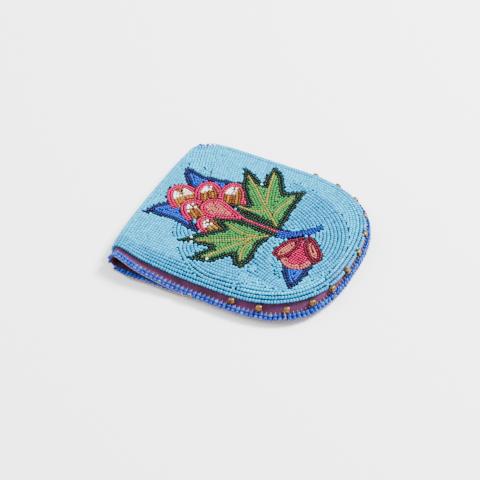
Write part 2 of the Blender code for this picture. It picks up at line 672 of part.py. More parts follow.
def sweep(name, places, section):
    """A solid with a section set at each place of a path; section(i) gives points out and up."""
    bm = bmesh.new()
    rings = []
    for i, ((x, y), (ox, oy)) in enumerate(places):
        rings.append([bm.verts.new((x + ox * out, y + oy * out, up)) for out, up in section(i)])
    for a, b in zip(rings, rings[1:]):
        for i in range(len(a)):
            j = (i + 1) % len(a)
            bm.faces.new((a[i], a[j], b[j], b[i]))
    bm.faces.new(rings[0][::-1])
    bm.faces.new(rings[-1])
    bmesh.ops.recalc_face_normals(bm, faces=bm.faces)
    return mesh_object(name, bm)


def make_flap_edging():
    """Bead pairs whipped over the flap's edge: a band that is notched between one pair and the next."""
    path = flap_edge(X_FOLD - UNDER_FOLD * FOLD_RADIUS, 60)

    def section(i):
        notch = EDGE_NOTCH if i % 2 else 0
        band, over = EDGE_BAND - notch, EDGE_OVERHANG - notch
        return [(-band, GAP), (over, GAP), (over * 0.4, FIELD_HIGH - notch), (-band * 0.75, FIELD_HIGH - notch)]

    fold_piece(sweep("flap_edging", walk(path, EDGE_BEAD / 2), section), "edge_blue_beads", NO_LINES)


def make_pocket_edging():
    """Bead pairs along the seam of back and pocket front, outside both."""
    places = walk(back_edge(X_FOLD, 40), 3 * EDGE_BEAD)

    def section(_):
        return [(GAP, GAP), (SEAM_BEADS * 0.8, GAP), (SEAM_BEADS, SEAM_HEIGHT / 2),
                (SEAM_BEADS * 0.7, SEAM_HEIGHT), (GAP, SEAM_HEIGHT)]

    add_part(sweep("pocket_edging", places, section), "edge_blue_beads")


def make_brass_beads():
    """Round beads with a hole along the border, sewn down one by one."""
    fine = walk(flap_edge(X_FOLD, 60), 1 * MM)
    first = next(i for i, (place, _) in enumerate(fine) if place[0] >= BRASS_START)
    for number in range(BRASS_COUNT):
        (x, y), (ox, oy) = fine[first + round(number * BRASS_SPACING / MM)]
        u, v = x - ox * BRASS_INSET, y - oy * BRASS_INSET
        ahead = folded((u - oy * MM, v + ox * MM, 0)) - folded((u, v, 0))
        centre = folded((u, v, GAP + BRASS_RADIUS))
        bm = bmesh.new()
        profile = [(BRASS_HOLE, -0.9), (BRASS_RADIUS * 0.75, -0.68), (BRASS_RADIUS, 0),
                   (BRASS_RADIUS * 0.75, 0.68), (BRASS_HOLE, 0.9)]
        ring = [bm.verts.new((r, 0, z * BRASS_RADIUS)) for r, z in profile]
        edges = [bm.edges.new(pair) for pair in zip(ring, ring[1:] + ring[:1])]
        bmesh.ops.spin(bm, geom=ring + edges, cent=(0, 0, 0), axis=(0, 0, 1), angle=2 * math.pi, steps=BRASS_SIDES,
                       use_merge=True)
        bmesh.ops.remove_doubles(bm, verts=bm.verts, dist=0.01 * MM)
        bmesh.ops.recalc_face_normals(bm, faces=bm.faces)
        bead = mesh_object(f"brass_bead_{number + 1:02d}", bm)
        bead.location = centre
        bead.rotation_euler = ahead.to_track_quat("Z", "Y").to_euler()
        add_part(bead, "brass")


def centre_over_origin():
    """Sets the middle of the finished pouch over the origin."""
    bpy.context.view_layer.update()
    corners = [obj.matrix_world @ vert.co for obj in parts.objects for vert in obj.data.vertices]
    middle = [(min(c[i] for c in corners) + max(c[i] for c in corners)) / 2 for i in (0, 1)]
    for obj in parts.objects:
        obj.location -= Vector((*middle, 0))


for old in list(bpy.data.objects):
    bpy.data.objects.remove(old)
parts = bpy.data.collections.new("beaded_belt_pouch")
helpers = bpy.data.collections.new("cutters")
bpy.context.scene.collection.children.link(parts)
bpy.context.scene.collection.children.link(helpers)
materials = {}
for slot, (colour, roughness, metallic) in COLOURS.items():
    made = bpy.data.materials.new(slot)
    made.use_nodes = True
    shader = made.node_tree.nodes["Principled BSDF"]
    shader.inputs["Base Color"].default_value = (*colour, 1)
    shader.inputs["Roughness"].default_value = roughness
    shader.inputs["Metallic"].default_value = metallic
    materials[slot] = made

make_cloth()
make_pocket_front()
make_ground(make_spray())
make_flap_edging()
make_pocket_edging()
make_brass_beads()
centre_over_origin()
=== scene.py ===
"""Dresses the beaded belt pouch: seed beads sewn down row by row, edging beads in pairs, thread,
brass beads and the wool cloth, on a pale floor in soft studio light.

Bead places are worked out on the flat strip of cloth, in millimetres: u runs from the fold to the
flap's tip, v runs across, and n stands off the cloth's outer face. The strip is then folded and rolled
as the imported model's cloth is.
"""
import math
import random

import bmesh
import bpy
import numpy as np
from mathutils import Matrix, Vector


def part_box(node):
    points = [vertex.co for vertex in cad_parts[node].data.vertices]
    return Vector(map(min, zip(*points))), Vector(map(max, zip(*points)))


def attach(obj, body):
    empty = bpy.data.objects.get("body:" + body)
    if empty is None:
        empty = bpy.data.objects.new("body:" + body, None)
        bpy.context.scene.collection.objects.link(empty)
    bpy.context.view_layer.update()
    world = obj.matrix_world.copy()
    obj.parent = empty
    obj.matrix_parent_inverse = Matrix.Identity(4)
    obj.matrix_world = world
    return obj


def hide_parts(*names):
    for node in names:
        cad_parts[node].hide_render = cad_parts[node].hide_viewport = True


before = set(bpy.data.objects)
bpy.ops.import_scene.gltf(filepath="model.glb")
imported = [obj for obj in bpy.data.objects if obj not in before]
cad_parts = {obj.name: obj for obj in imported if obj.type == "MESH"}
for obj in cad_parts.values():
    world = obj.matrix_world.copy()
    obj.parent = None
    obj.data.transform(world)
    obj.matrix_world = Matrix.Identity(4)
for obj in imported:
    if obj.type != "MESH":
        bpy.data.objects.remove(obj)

bl_info = {
    "name": "Beaded Belt Pouch",
    "version": (1, 0, 0),
    "blender": (4, 5, 0),
    "location": "View3D > Sidebar > Pouch",
    "description": "Sews the beads, edging, thread and cloth of a folded belt pouch",
    "category": "Add Mesh",
}

MM = 0.001

# The strip of cloth, its fold and its roll, in millimetres and radians
CLOTH, FOLD_RADIUS, X_FOLD, X_END = 1.0, 3.9, 5.65, 60.0
NEAR_FOLD, FAR_FOLD, NEAR_SPREAD, FAR_SPREAD = 49.5, 42.5, 40.0, 18.0
FLAP_TIP, FLAP_HALF = 111.5, 51.0
FLAP_END = FLAP_TIP - X_END
BACK_LENGTH, BACK_NEAR, BACK_FAR, BACK_SPREAD, BACK_END = 103.5, 46.7, 42.6, 20.0, 44.0
NEAR_SHAPE, FAR_SHAPE = 2.9, 2.55
TOP, CROWN, EDGE_HEIGHT = 7.8, 8.4, 2.6
NEAR_SETTLE, FAR_SETTLE = 42.0, 16.0
NEAR_ROLL, FAR_ROLL = math.radians(30), math.radians(84)
ROLL_FROM, ROLL_TO = -50.0, -26.0
NEAR_BORDER, TIP_BORDER, FAR_BORDER = 5.7, 3.8, 5.4
UNDER_FOLD = 2.1
POCKET_CLOTH, POCKET_CROWN, POCKET_FALL, POCKET_MOUTH, GAP = 0.8, 6.5, 4.0, 13.0, 0.3
SLIT_LENGTH, SLIT_WIDTH, SLIT_SPACING, SLIT_CENTRE = 44.0, 1.6, 42.0, 50.0
U_BACK = X_FOLD - math.pi * FOLD_RADIUS
BACK_TURN = X_FOLD + U_BACK
BACK_STRAIGHT = BACK_LENGTH - BACK_END

# How the pouch has settled. Its fold bows out in the middle and draws in at its ends
BOW_IN, BOW_OUT, BOW_FROM, BOW_LENGTH, BOW_HALF = 2.6, 0.9, 2, 24, 48
NEAR_DRAW, FAR_DRAW = 0.04, 0.02
# The back bulges on its near side, where the seam's beads stand higher: starts and lengths of the swells
BACK_BULGE, BULGE_RISE, BULGE_FALL = 2.0, (8, 12), (38, 18)
SEAM_LIFT, NEAR_LIFT, LIFT_RISE, LIFT_FALL = 1.2, 1.3, (8, 10), (44, 16)
# The flap's far edging hangs low near the fold
FAR_LOW, FAR_LOW_LENGTH = 0.75, 24
# The far brass beads are sunk, and the sinking grows up to a distance from the middle line, both in metres
BRASS_SINK, BRASS_SINK_FROM = 0.0009, 0.02

# How beads are sewn, in millimetres. A room is the least distance between the centres of two beads
NUDGE = 0.3
BEAD_LIFT, EDGE_LIFT = 1.02, 0.95
GROUND_ROOM, TIGHT_ROOM, FILLER_ROOM, BRASS_ROOM = 1.18, 1.12, 1.1, 2.05
SPRAY_ROOM, PETAL_ROOM, CLOSE_ROOM, VEIN_ROOM, FINE_ROOM = 1.0, 0.98, 0.95, 0.9, 0.85
# Least distances of beads from an outline that they fill, from other rows, and from what lies over them
RIM_GAP, EDGE_GAP, ROW_SLACK, OVER_GAP, BETWEEN_GAP, SPRAY_GAP = 0.3, 0.5, 0.1, 0.35, 0.2, 0.55
# The ground's border at the fold's far end, its end's shape, and where its close rows start, in row pitches
FOLD_BORDER, GROUND_SHAPE, INNER_ROWS = 3.2, 2.6, 2.35
PLUG_STEP, FILLER_STEP, PLUG_ANGLE, ANY_DEPTH = 0.3, 0.45, 0.6, 99
# The lowest petal's brown vein, and where a petal's white starts along it and left of its middle
VEIN_SLOPE, VEIN_START, VEIN_HALF, PALE_START, PALE_LEFT = 3.4, 0.42, 0.62, 0.43, -1.3
# Edging pairs: shares of a bead's length inside the flap's edge, and distances outside the seam and the fold
FLAP_PAIR, SEAM_PAIR, FOLD_PAIR = (0.97, -0.04), (0.72, 1.75), (0.15, -0.9)
FOLD_PAIR_LIFT, FOLD_SHARE = 0.25, 2.2
STITCH_GAP, FLAP_THREAD, SEAM_THREAD = 0.45, 0.42, 2.25

# Shares of a bead's full size: its width twice, then its length
WHOLE, NARROW, SMALL, FILLER = (1, 1, 1), (0.85, 0.85, 1), (0.82, 0.82, 0.86), (0.85, 0.85, 0.85)

# Tones of each element's rim and field, and how far each tone of the ground goes to bright and to pale. The
# pale tone is painted reflection: paler beads where the back light's reflection falls
OWN_TONES = {"blue_leaf": ("navy", "royal"), "blossom_tip": ("navy", "royal"),
             "leaf": ("dark_green", "leaf_green"), "blossom": ("rose", "salmon")}
GROUND_MIX = {"edge": (1.0, 0.0), "halo": (0.7, 0.05), "near": (0.85, 0.0), "pale": (0.0, 0.75),
              "field": (0.1, 0.35)}
CALMER, CALM_FROM = {"edge": "halo", "near": "field"}, -12
GRIME = 0.35
BRASS_DARK, BRASS_BRIGHT = (0.035, 0.016, 0.005), (0.20, 0.11, 0.04)
EDGE_PALER = (0.03, 0.09, 0.12)

# Inputs of the beads' Geometry Nodes
BEAD_INPUTS = (("Bead Diameter", "Float", 0.0016), ("Hole Diameter", "Float", 0.0005),
               ("Bead Length", "Float", 0.0013), ("Sides", "Int", 8), ("Wall Sides", "Int", 6),
               ("Unevenness", "Float", 0.06), ("Seed", "Int", 7), ("Material", "Material", None))

# Lamps by place, size in metres and power in watts. The camera's places are in millimetres
LAMPS = (("key", (0.55, 0.75, 0.95), 0.45, 74), ("fill", (-0.9, -0.3, 0.9), 0.9, 16))
WORLD_STRENGTH = 1.4
CAMERA_PLACE, CAMERA_AIM = (272.09, -435.84, 465.30), (50.95, -4.35, 0)

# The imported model's origin seen from the strip's, in metres
SHIFT = Vector((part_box("outer_cloth")[0].x - (X_FOLD - FOLD_RADIUS) * MM, 0, 0))

# The spray of leaves, petals and blossom, as outlines on the strip
UPPER_LEAF = [(68.5, 1.5), (57, 2.7), (37.8, 6.8), (47.8, 10), (39.5, 20), (34, 34.5), (39.5, 32),
              (47.5, 27), (46.5, 34.5), (47.5, 41.5), (54, 36.5), (60, 26), (64, 29), (69, 32),
              (68.5, 17.5), (69.5, 2)]
UPPER_VEINS = [[(66.9, 2.8), (62.3, 7.1), (55.6, 13.2), (46.3, 22.4), (38.3, 29.3)],
               [(55.6, 14.4), (51.8, 25.1), (48.8, 37)],
               [(62.2, 8.8), (62.2, 14), (65, 24.5)],
               [(57.2, 10.6), (52, 7.6), (44.2, 7.4)]]
LOWER_LEAF = [(69.5, -2), (57, -1), (46.5, -1.5), (36.5, -5.5), (44.7, -10), (35.5, -18.8), (29.5, -26.5),
              (39, -25), (45.5, -24), (41.5, -30), (39.5, -35.5), (49.5, -33.3), (57, -24), (60, -29),
              (64.5, -30), (66, -23), (65.5, -13), (67, -6.5)]
LOWER_VEINS = [[(66.2, -4.6), (59.7, -9.7), (50.9, -15.5), (37.6, -22.8)],
               [(59.2, -11.4), (53.2, -19.6), (46.2, -30.6)],
               [(61.2, -7.4), (54.8, -8.6), (45.8, -6.2)],
               [(60.6, -12), (59.3, -18), (61.4, -25)]]
UPPER_BLUE = [(8.4, 22.4), (9.6, 17), (17.4, 8), (34, 13), (38, 22.8), (29, 20.9), (19.4, 19.1)]
LOWER_BLUE = [(5.2, -17.1), (8.4, -9.3), (13.6, -4.4), (22, -4), (36.5, -18.8), (21.4, -15.6),
              (11.8, -15.6)]
STEM = [(68.5, 1.4), (72.8, 2.2), (77.6, 3.8), (82.3, 8.8), (86, 13.2), (87.4, 11.2), (84, 6), (78, 0.6),
        (74, -2.6), (70, -4.6)]
LEFT_PETAL = [(81.6, 2.6), (75.2, -3.2), (72.3, -11.2), (72.9, -15), (77.5, -17), (80.7, -12.9),
              (82.5, -6.3)]
RIGHT_PETAL = [(82.6, 4.6), (88.4, 1.8), (94.3, -4.6), (95.4, -10.2), (92.3, -12.4), (88, -9.3),
               (83.4, -3.4)]
BLOSSOM_MIDDLE = [(82.4, 0.5), (80.5, -16), (84.5, -16.4), (87.8, -15), (90.5, -11)]
BLOSSOM_LIP = [(77, -15), (80, -18.6), (84.4, -20), (89.3, -18.2), (92.2, -14), (91.5, -10), (84, -10)]
BLOSSOM_TIP = [(78.5, -15), (82, -22.5), (85.5, -27.5), (90.3, -31.7), (92.5, -25), (93.4, -12)]
PETALS = {
    "petal_1": ((18.6, 0.4), (10.2, 7.7), 8.0),
    "petal_2": ((27.5, 8), (23, 16.8), 7.0),
    "petal_4": ((27, -5), (19.9, 0.1), 6.8),
    "petal_3": ((38.5, 12.2), (35.2, 21.8), 7.2),
    "petal_5": ((38.6, -11), (31.4, -7.6), 6.2),
}
PETAL_TUCK = 5.0
TEARDROP_HEAD, TEARDROP_RADIUS, TEARDROP_POINT = (34.3, 0.8), 6.9, (52.5, 0.5)
BETWEEN_LEAVES = [(45, 6.6), (57, 3.4), (69.2, 1.8), (69.2, -2.6), (57, -1.6), (45.5, -1.8)]

STEM_LINE = [(69.5, 1.6), (77.6, 3.4), (82.3, 8.4), (86, 12.6)]
BLOSSOM_LINE = [(82.4, -3), (80.5, -16)]
TEARDROP_LINE = [(47.5, 0.6), (69, -0.4)]

# Stray white beads in the leaves' rims, and loose ends of thread as places u, v and n
STRAY_WHITE = [(34.1, -21.2), (36.1, -24.7), (46.9, -30.1), (47.4, 26.3)]
LOOSE_THREADS = {
    "loose_thread_loop": [(44.5, -50.9, 1.4), (45.6, -52.2, 1.9), (47.4, -53.4, 1.7), (49.2, -53.1, 1.2),
                          (49.9, -51.6, 1.8), (49.2, -50.2, 2.2)],
    "loose_thread_end": [(92.4, -41.8, 2.0), (93.6, -43, 2.7), (94.6, -44.3, 2.5), (94.2, -45.6, 1.6)],
    "loose_thread_knot": [(108.4, -22.6, 1.9), (109, -22, 2.5), (108.6, -21.5, 2.7), (108.1, -22, 2.3),
                          (108.8, -22.5, 2.2)],
}

# Lines that the rows of ground beads follow, and the fields that the rows fill
LEAF_ARC = [(21.6, -14.5), (22.4, -17.3), (23.3, -20.2), (24.9, -23.4), (26.9, -25.7), (29.2, -27.4)]
LEAF_FIELD = LEAF_ARC + [(31, -28.5), (38, -22), (40, -14), (30, -10)]
LOBE_ARC = [(31.3, -29), (33.5, -32.7), (36.7, -35.6), (39.9, -38.4), (43.1, -40.3), (46.2, -41.3),
            (52.2, -42.3), (58.8, -42.1), (65.3, -41.6), (69.5, -40.4), (71.6, -38)]
LOBE_FIELD = LOBE_ARC + [(73, -35), (70, -32), (65, -30), (57, -24), (45, -24), (34, -24)]
STEM_FAN = [(67.2, -7.5), (70.2, -9), (72.6, -11.5), (74.8, -15.5), (78.5, -20.5)]
LEAF_FAN = [(64, -30.2), (71.6, -31.7), (79.1, -33), (83.6, -33.9), (90.2, -32.9)]
FAN_FIELD = [(69.5, -4), (66, -9), (64, -22), (64, -30.4), (71.6, -32.2), (79.1, -33.7), (84, -34.8),
             (90.2, -33.4), (88, -25), (80, -15), (76, -4)]
SIDE_ARC = [(60, 36.2), (69.2, 34.3), (78.9, 31.4), (88.1, 26.4), (93.9, 21.4), (98.5, 15.3),
            (101.2, 9.6), (102.8, 3), (103.2, -3), (102.5, -8.6), (100.6, -14.3), (96.1, -21)]
SIDE_FIELD = SIDE_ARC + [(92, -24), (84, -12), (68, -2), (60, 20)]
# The pale field, on the near side toward the tip, is where paler beads paint the back light's reflection
REFLECTION_PALE_FIELD = [(60, -47), (67, -41.8), (73.7, -35.4), (79.4, -35.6), (84.3, -35.8), (90.3, -33),
              (94.6, -26.9), (96.4, -22.4), (105.6, -15), (112, -20), (112, -55)]


def smooth(t):
    """Eases from 0 to 1."""
    t = min(max(t, 0.0), 1.0)
    return t * t * (3 - 2 * t)


def strip_half(u, v):
    """Half the strip's width at u, on the side that v is on."""
    fold, spread, back = (FAR_FOLD, FAR_SPREAD, BACK_FAR) if v > 0 else (NEAR_FOLD, NEAR_SPREAD, BACK_NEAR)
    if u > X_FOLD:
        return FLAP_HALF - (FLAP_HALF - fold) * max(0.0, 1 - (u - X_FOLD) / spread) ** 2
    return fold + (back - fold) * smooth((U_BACK - u) / BACK_SPREAD)


def end_reach(along, across):
    """How far out a place lies in a rounded end: 1 on its edge."""
    shape = FAR_SHAPE if across > 0 else NEAR_SHAPE
    return (along ** shape + abs(across) ** shape) ** (1 / shape)


def outer_face(u, v):
    """A point of the strip's outer face once it is folded and rolled."""
    if u <= U_BACK:
        return Vector((BACK_TURN - u, v, 0))
    if u < X_FOLD:
        turn = (X_FOLD - u) / FOLD_RADIUS
        return Vector((X_FOLD - FOLD_RADIUS * math.sin(turn), v, FOLD_RADIUS * (1 + math.cos(turn))))
    far = smooth((v - ROLL_FROM) / (ROLL_TO - ROLL_FROM))
    settled = smooth((u - X_FOLD) / (NEAR_SETTLE + (FAR_SETTLE - NEAR_SETTLE) * far))
    crown = TOP + (CROWN - TOP) * settled
    drop = (CROWN - EDGE_HEIGHT) * settled
    half = strip_half(min(u, X_END), v)
    out = end_reach(max(0.0, u - X_END) / FLAP_END, v / half)
    roll = (NEAR_ROLL + (FAR_ROLL - NEAR_ROLL) * far) * settled
    if roll < 0.01:
        return Vector((u, v, crown))
    radius = drop / (1 - math.cos(roll))
    inside = half * out - (half - radius * roll)
    if inside <= 0:
        return Vector((u, v, crown))
    turn = inside / radius
    share = (half - radius * roll + radius * math.sin(turn)) / (half * out)
    x = u if u < X_END else X_END + (u - X_END) * share
    return Vector((x, v * share, crown - radius * (1 - math.cos(turn))))


def settled_place(point):
    """Bows the fold out in its middle and draws its two ends in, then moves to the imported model's frame."""
    ease = 1 - smooth((point.x - BOW_FROM) / BOW_LENGTH)
    share = min(1.0, abs(point.y) / BOW_HALF)
    x = point.x + ease * (BOW_IN * share ** 4 - BOW_OUT * (1 - share ** 2))
    y = point.y * (1 - ease ** 2 * (NEAR_DRAW if point.y < 0 else FAR_DRAW))
    return Vector((x, y, point.z)) * MM + SHIFT


def folded(u, v, n):
    """A place of the strip on the finished pouch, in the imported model's frame and in metres."""
    step = 0.1
    along = outer_face(u + step, v) - outer_face(u - step, v)
    across = outer_face(u, v + step) - outer_face(u, v - step)
    return settled_place(outer_face(u, v) + along.cross(across).normalized() * n)


def heading(u, v, du, dv, n):
    """Where a small step along the strip points on the finished pouch."""
    ahead, behind = (folded(u + du * step, v + dv * step, n) for step in (NUDGE, -NUDGE))
    return (ahead - behind).normalized()


def fit_across():
    """Takes the strip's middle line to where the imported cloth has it."""
    far = max(outer_face(u, strip_half(u, 1)).y for u in range(20, 58, 2))
    SHIFT.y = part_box("outer_cloth")[1].y - far * MM


fit_across()


def arch(base, apex, half):
    """The outline of a scale-like petal: half an ellipse over its base."""
    ax, ay = apex[0] - base[0], apex[1] - base[1]
    long = math.hypot(ax, ay)
    sx, sy = -ay / long * half, ax / long * half
    turns = [math.pi * i / 10 - math.pi / 2 for i in range(11)]
    return [(base[0] + ax * math.cos(t) + sx * math.sin(t), base[1] + ay * math.cos(t) + sy * math.sin(t))
            for t in turns]


def scale_petal(base, apex, half):
    """A petal's open outline, carried back under the petals above it."""
    back = [(b - a) / math.dist(base, apex) * PETAL_TUCK for b, a in zip(base, apex)]
    line = arch(base, apex, half)
    first, last = (tuple(p + b for p, b in zip(end, back)) for end in (line[0], line[-1]))
    return [first] + line + [last]


def teardrop():
    """The teardrop petal's head and point."""
    cx, cy = TEARDROP_HEAD
    reach = math.acos(TEARDROP_RADIUS / math.dist(TEARDROP_HEAD, TEARDROP_POINT))
    turns = [reach + 2 * (math.pi - reach) * i / 14 for i in range(15)]
    return [(cx + TEARDROP_RADIUS * math.cos(t), cy + TEARDROP_RADIUS * math.sin(t)) for t in turns] \
        + [TEARDROP_POINT]


# Lines and rows on the strip

def closed(outline):
    return list(outline) + [outline[0]]


def curve_through(points, count=8):
    """A smooth line through a few points."""
    ends = [points[0]] + list(points) + [points[-1]]
    line = []
    for a, b, c, d in zip(ends, ends[1:], ends[2:], ends[3:]):
        for i in range(count):
            t = i / count
            line.append(tuple(0.5 * (2 * q + (r - p) * t + (2 * p - 5 * q + 4 * r - s) * t * t
                                     + (3 * q - p - 3 * r + s) * t ** 3)
                              for p, q, r, s in zip(a, b, c, d)))
    return line + [points[-1]]


def resample(line, step):
    """Points at an even step along a line."""
    line = np.asarray(line, float)
    run = np.concatenate([[0], np.cumsum(np.hypot(*(line[1:] - line[:-1]).T))])
    count = max(1, int(round(run[-1] / step)))
    at = np.linspace(0, run[-1], count + 1)
    return np.stack([np.interp(at, run, line[:, 0]), np.interp(at, run, line[:, 1])], 1)


def distance_to(points, line):
    """Distance from each point to a line."""
    points, line = np.asarray(points, float).reshape(-1, 2), np.asarray(line, float)
    a, d = line[:-1], line[1:] - line[:-1]
    t = ((points[:, None] - a) * d).sum(2) / np.maximum((d * d).sum(1), 1e-12)
    near = a + np.clip(t, 0, 1)[..., None] * d
    return np.hypot(*(points[:, None] - near).transpose(2, 0, 1)).min(1)


def within(points, outline):
    """Which points lie inside an outline."""
    points, shape = np.asarray(points, float).reshape(-1, 2), np.asarray(outline, float)
    x, y = points[:, :1], points[:, 1:]
    a, b = shape, np.roll(shape, -1, 0)
    rise = np.where(b[:, 1] == a[:, 1], 1e-12, b[:, 1] - a[:, 1])
    crosses = ((a[:, 1] > y) != (b[:, 1] > y)) & (x < (b[:, 0] - a[:, 0]) * (y - a[:, 1]) / rise + a[:, 0])
    return crosses.sum(1) % 2 == 1


def depth(points, outline):
    """Distance inside an outline, below 0 outside it."""
    return np.where(within(points, outline), 1, -1) * distance_to(points, closed(outline))


def beside(line, gap):
    """The stretches of a line moved sideways, left of its run for a gap above 0."""
    fine = resample(line, 0.35)
    ahead = np.gradient(fine, axis=0)
    ahead /= np.maximum(np.hypot(*ahead.T), 1e-9)[:, None]
    if gap:
        moved = fine + np.stack([-ahead[:, 1], ahead[:, 0]], 1) * gap
        good = distance_to(moved, line) > abs(gap) - 0.06
    else:
        moved, good = fine, np.ones(len(fine), bool)
    loop = np.allclose(fine[0], fine[-1])
    stretches, now = [], []
    for point, keep in zip(moved, good):
        if keep and (not now or math.dist(point, now[-1]) < 2.5):
            now.append(tuple(point))
        elif now:
            stretches.append(now)
            now = [tuple(point)] if keep else []
    if now:
        stretches.append(now)
    if loop and len(stretches) > 1 and good[0] and good[-1]:
        stretches[0] = stretches.pop() + stretches[0]
    return [s for s in stretches if len(s) > 3]


class Sewing:
    """Beads already sewn on the flap, so that no two take the same place."""

    def __init__(self):
        self.taken = {}

    def free(self, u, v, room):
        cell = (int(u // 2), int(v // 2))
        for i in (-1, 0, 1):
            for j in (-1, 0, 1):
                for a, b in self.taken.get((cell[0] + i, cell[1] + j), ()):
                    if math.hypot(a - u, b - v) < room:
                        return False
        return True

    def take(self, u, v):
        self.taken.setdefault((int(u // 2), int(v // 2)), []).append((u, v))

    def row(self, line, pitch, allowed, room, tone, size):
        """Sews beads along a line wherever they are allowed and nothing is in the way."""
        places = resample(line, pitch)
        if len(places) < 2:
            return []
        middles = (places[1:] + places[:-1]) / 2
        aims = places[1:] - places[:-1]
        sewn = []
        for (u, v), (du, dv), good in zip(middles, aims, allowed(middles)):
            if good and self.free(u, v, room):
                self.take(u, v)
                sewn.append((u, v, math.atan2(dv, du), size, tone))
        return sewn


# Meshes and Geometry Nodes

def link(obj):
    bpy.context.scene.collection.objects.link(obj)
    return obj


def plain(obj, name):
    """A plain mesh object of what an object shows with its modifiers."""
    bpy.context.view_layer.update()
    mesh = bpy.data.meshes.new_from_object(obj.evaluated_get(bpy.context.evaluated_depsgraph_get()))
    mesh.name = name
    bpy.data.objects.remove(obj)
    return link(bpy.data.objects.new(name, mesh))


def points_object(name, places, aims, sizes, tints):
    """A mesh of loose points that carries each bead's run, size and tint."""
    mesh = bpy.data.meshes.new(name)
    mesh.from_pydata([tuple(p) for p in places], [], [])
    for label, kind, values in (("run", "FLOAT_VECTOR", aims), ("size", "FLOAT_VECTOR", sizes)):
        mesh.attributes.new(label, kind, "POINT").data.foreach_set(
            "vector", np.asarray(values, np.float32).ravel())
    mesh.attributes.new("tint", "FLOAT_COLOR", "POINT").data.foreach_set(
        "color", np.asarray([(*t[:3], 1) for t in tints], np.float32).ravel())
    return link(bpy.data.objects.new(name + "_points", mesh))


def add_node(tree, kind, inputs=None, **settings):
    """A new node. Each input takes a plain value or another node's output."""
    node = tree.nodes.new(kind)
    for key, value in settings.items():
        setattr(node, key, value)
    set_sockets(tree, node, inputs or {})
    return node


def set_sockets(tree, node, values):
    for key, value in values.items():
        if isinstance(value, bpy.types.NodeSocket):
            tree.links.new(value, node.inputs[key])
        else:
            node.inputs[key].default_value = value


def bead_tree():
    """Sets a drilled bead on every point: a ring of glass whose hole runs along the row."""
    tree = bpy.data.node_groups.new("Sewn Beads", "GeometryNodeTree")
    tree.interface.new_socket("Geometry", in_out="INPUT", socket_type="NodeSocketGeometry")
    for label, kind, value in BEAD_INPUTS:
        made = tree.interface.new_socket(label, in_out="INPUT", socket_type="NodeSocket" + kind)
        if value is not None:
            made.default_value = value
    tree.interface.new_socket("Geometry", in_out="OUTPUT", socket_type="NodeSocketGeometry")
    given = tree.nodes.new("NodeGroupInput").outputs

    def made_by(kind, inputs, **settings):
        return add_node(tree, kind, inputs, **settings).outputs[0]

    def sum_by(operation, a, b):
        return made_by("ShaderNodeMath", {0: a, 1: b}, operation=operation)

    diameter, hole = given["Bead Diameter"], given["Hole Diameter"]
    ring = made_by("GeometryNodeCurvePrimitiveCircle", {
        "Resolution": given["Sides"], "Radius": sum_by("MULTIPLY", sum_by("ADD", diameter, hole), 0.25)})
    circle = made_by("GeometryNodeCurvePrimitiveCircle", {"Resolution": given["Wall Sides"], "Radius": 1})
    scale = made_by("ShaderNodeCombineXYZ", {
        "X": sum_by("MULTIPLY", sum_by("SUBTRACT", diameter, hole), 0.25),
        "Y": sum_by("MULTIPLY", given["Bead Length"], 0.5), "Z": 1})
    wall = made_by("GeometryNodeTransform", {"Geometry": circle, "Scale": scale})
    bead = made_by("GeometryNodeCurveToMesh", {"Curve": ring, "Profile Curve": wall})
    bead = made_by("GeometryNodeSetShadeSmooth", {"Geometry": bead})

    run, size = (add_node(tree, "GeometryNodeInputNamedAttribute", {"Name": label},
                          data_type="FLOAT_VECTOR").outputs["Attribute"] for label in ("run", "size"))
    turn = made_by("FunctionNodeAlignRotationToVector", {"Vector": run}, axis="Z")
    least, most = (sum_by(sign, 1.0, given["Unevenness"]) for sign in ("SUBTRACT", "ADD"))
    uneven = add_node(tree, "FunctionNodeRandomValue", {"Min": least, "Max": most, "Seed": given["Seed"]},
                      data_type="FLOAT_VECTOR").outputs["Value"]
    grown = made_by("ShaderNodeVectorMath", {0: size, 1: uneven}, operation="MULTIPLY")
    placed = made_by("GeometryNodeInstanceOnPoints", {"Points": given["Geometry"], "Instance": bead,
                                                      "Rotation": turn, "Scale": grown})
    real = made_by("GeometryNodeRealizeInstances", {"Geometry": placed})
    done = made_by("GeometryNodeSetMaterial", {"Geometry": real, "Material": given["Material"]})
    add_node(tree, "NodeGroupOutput", {"Geometry": done})
    return tree


def set_inputs(modifier, **values):
    """Sets a Geometry Nodes modifier's inputs by their sockets' identifiers."""
    for item in modifier.node_group.interface.items_tree:
        label = item.name.lower().replace(" ", "_")
        if item.item_type == "SOCKET" and item.in_out == "INPUT" and label in values:
            modifier[item.identifier] = values[label]


def sew(name, places, aims, tints, material, slot, nodes, sizes=None, **inputs):
    """One piece of beads: its points become drilled beads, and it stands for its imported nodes."""
    if not places:
        raise RuntimeError(f"{name} has no beads")
    carrier = points_object(name, places, aims, sizes or [WHOLE] * len(places), tints)
    modifier = carrier.modifiers.new("Sewn Beads", "NODES")
    modifier.node_group = bpy.data.node_groups.get("Sewn Beads") or bead_tree()
    set_inputs(modifier, material=material, **inputs)
    piece = plain(carrier, name)
    for label in ("run", "size"):
        if label in piece.data.attributes:
            piece.data.attributes.remove(piece.data.attributes[label])
    return adopt(piece, slot, *nodes)


def adopt(piece, slot, *nodes):
    """Hands a finished piece to the pouch."""
    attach(piece, "root")
    if nodes:
        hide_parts(*nodes)
    return piece


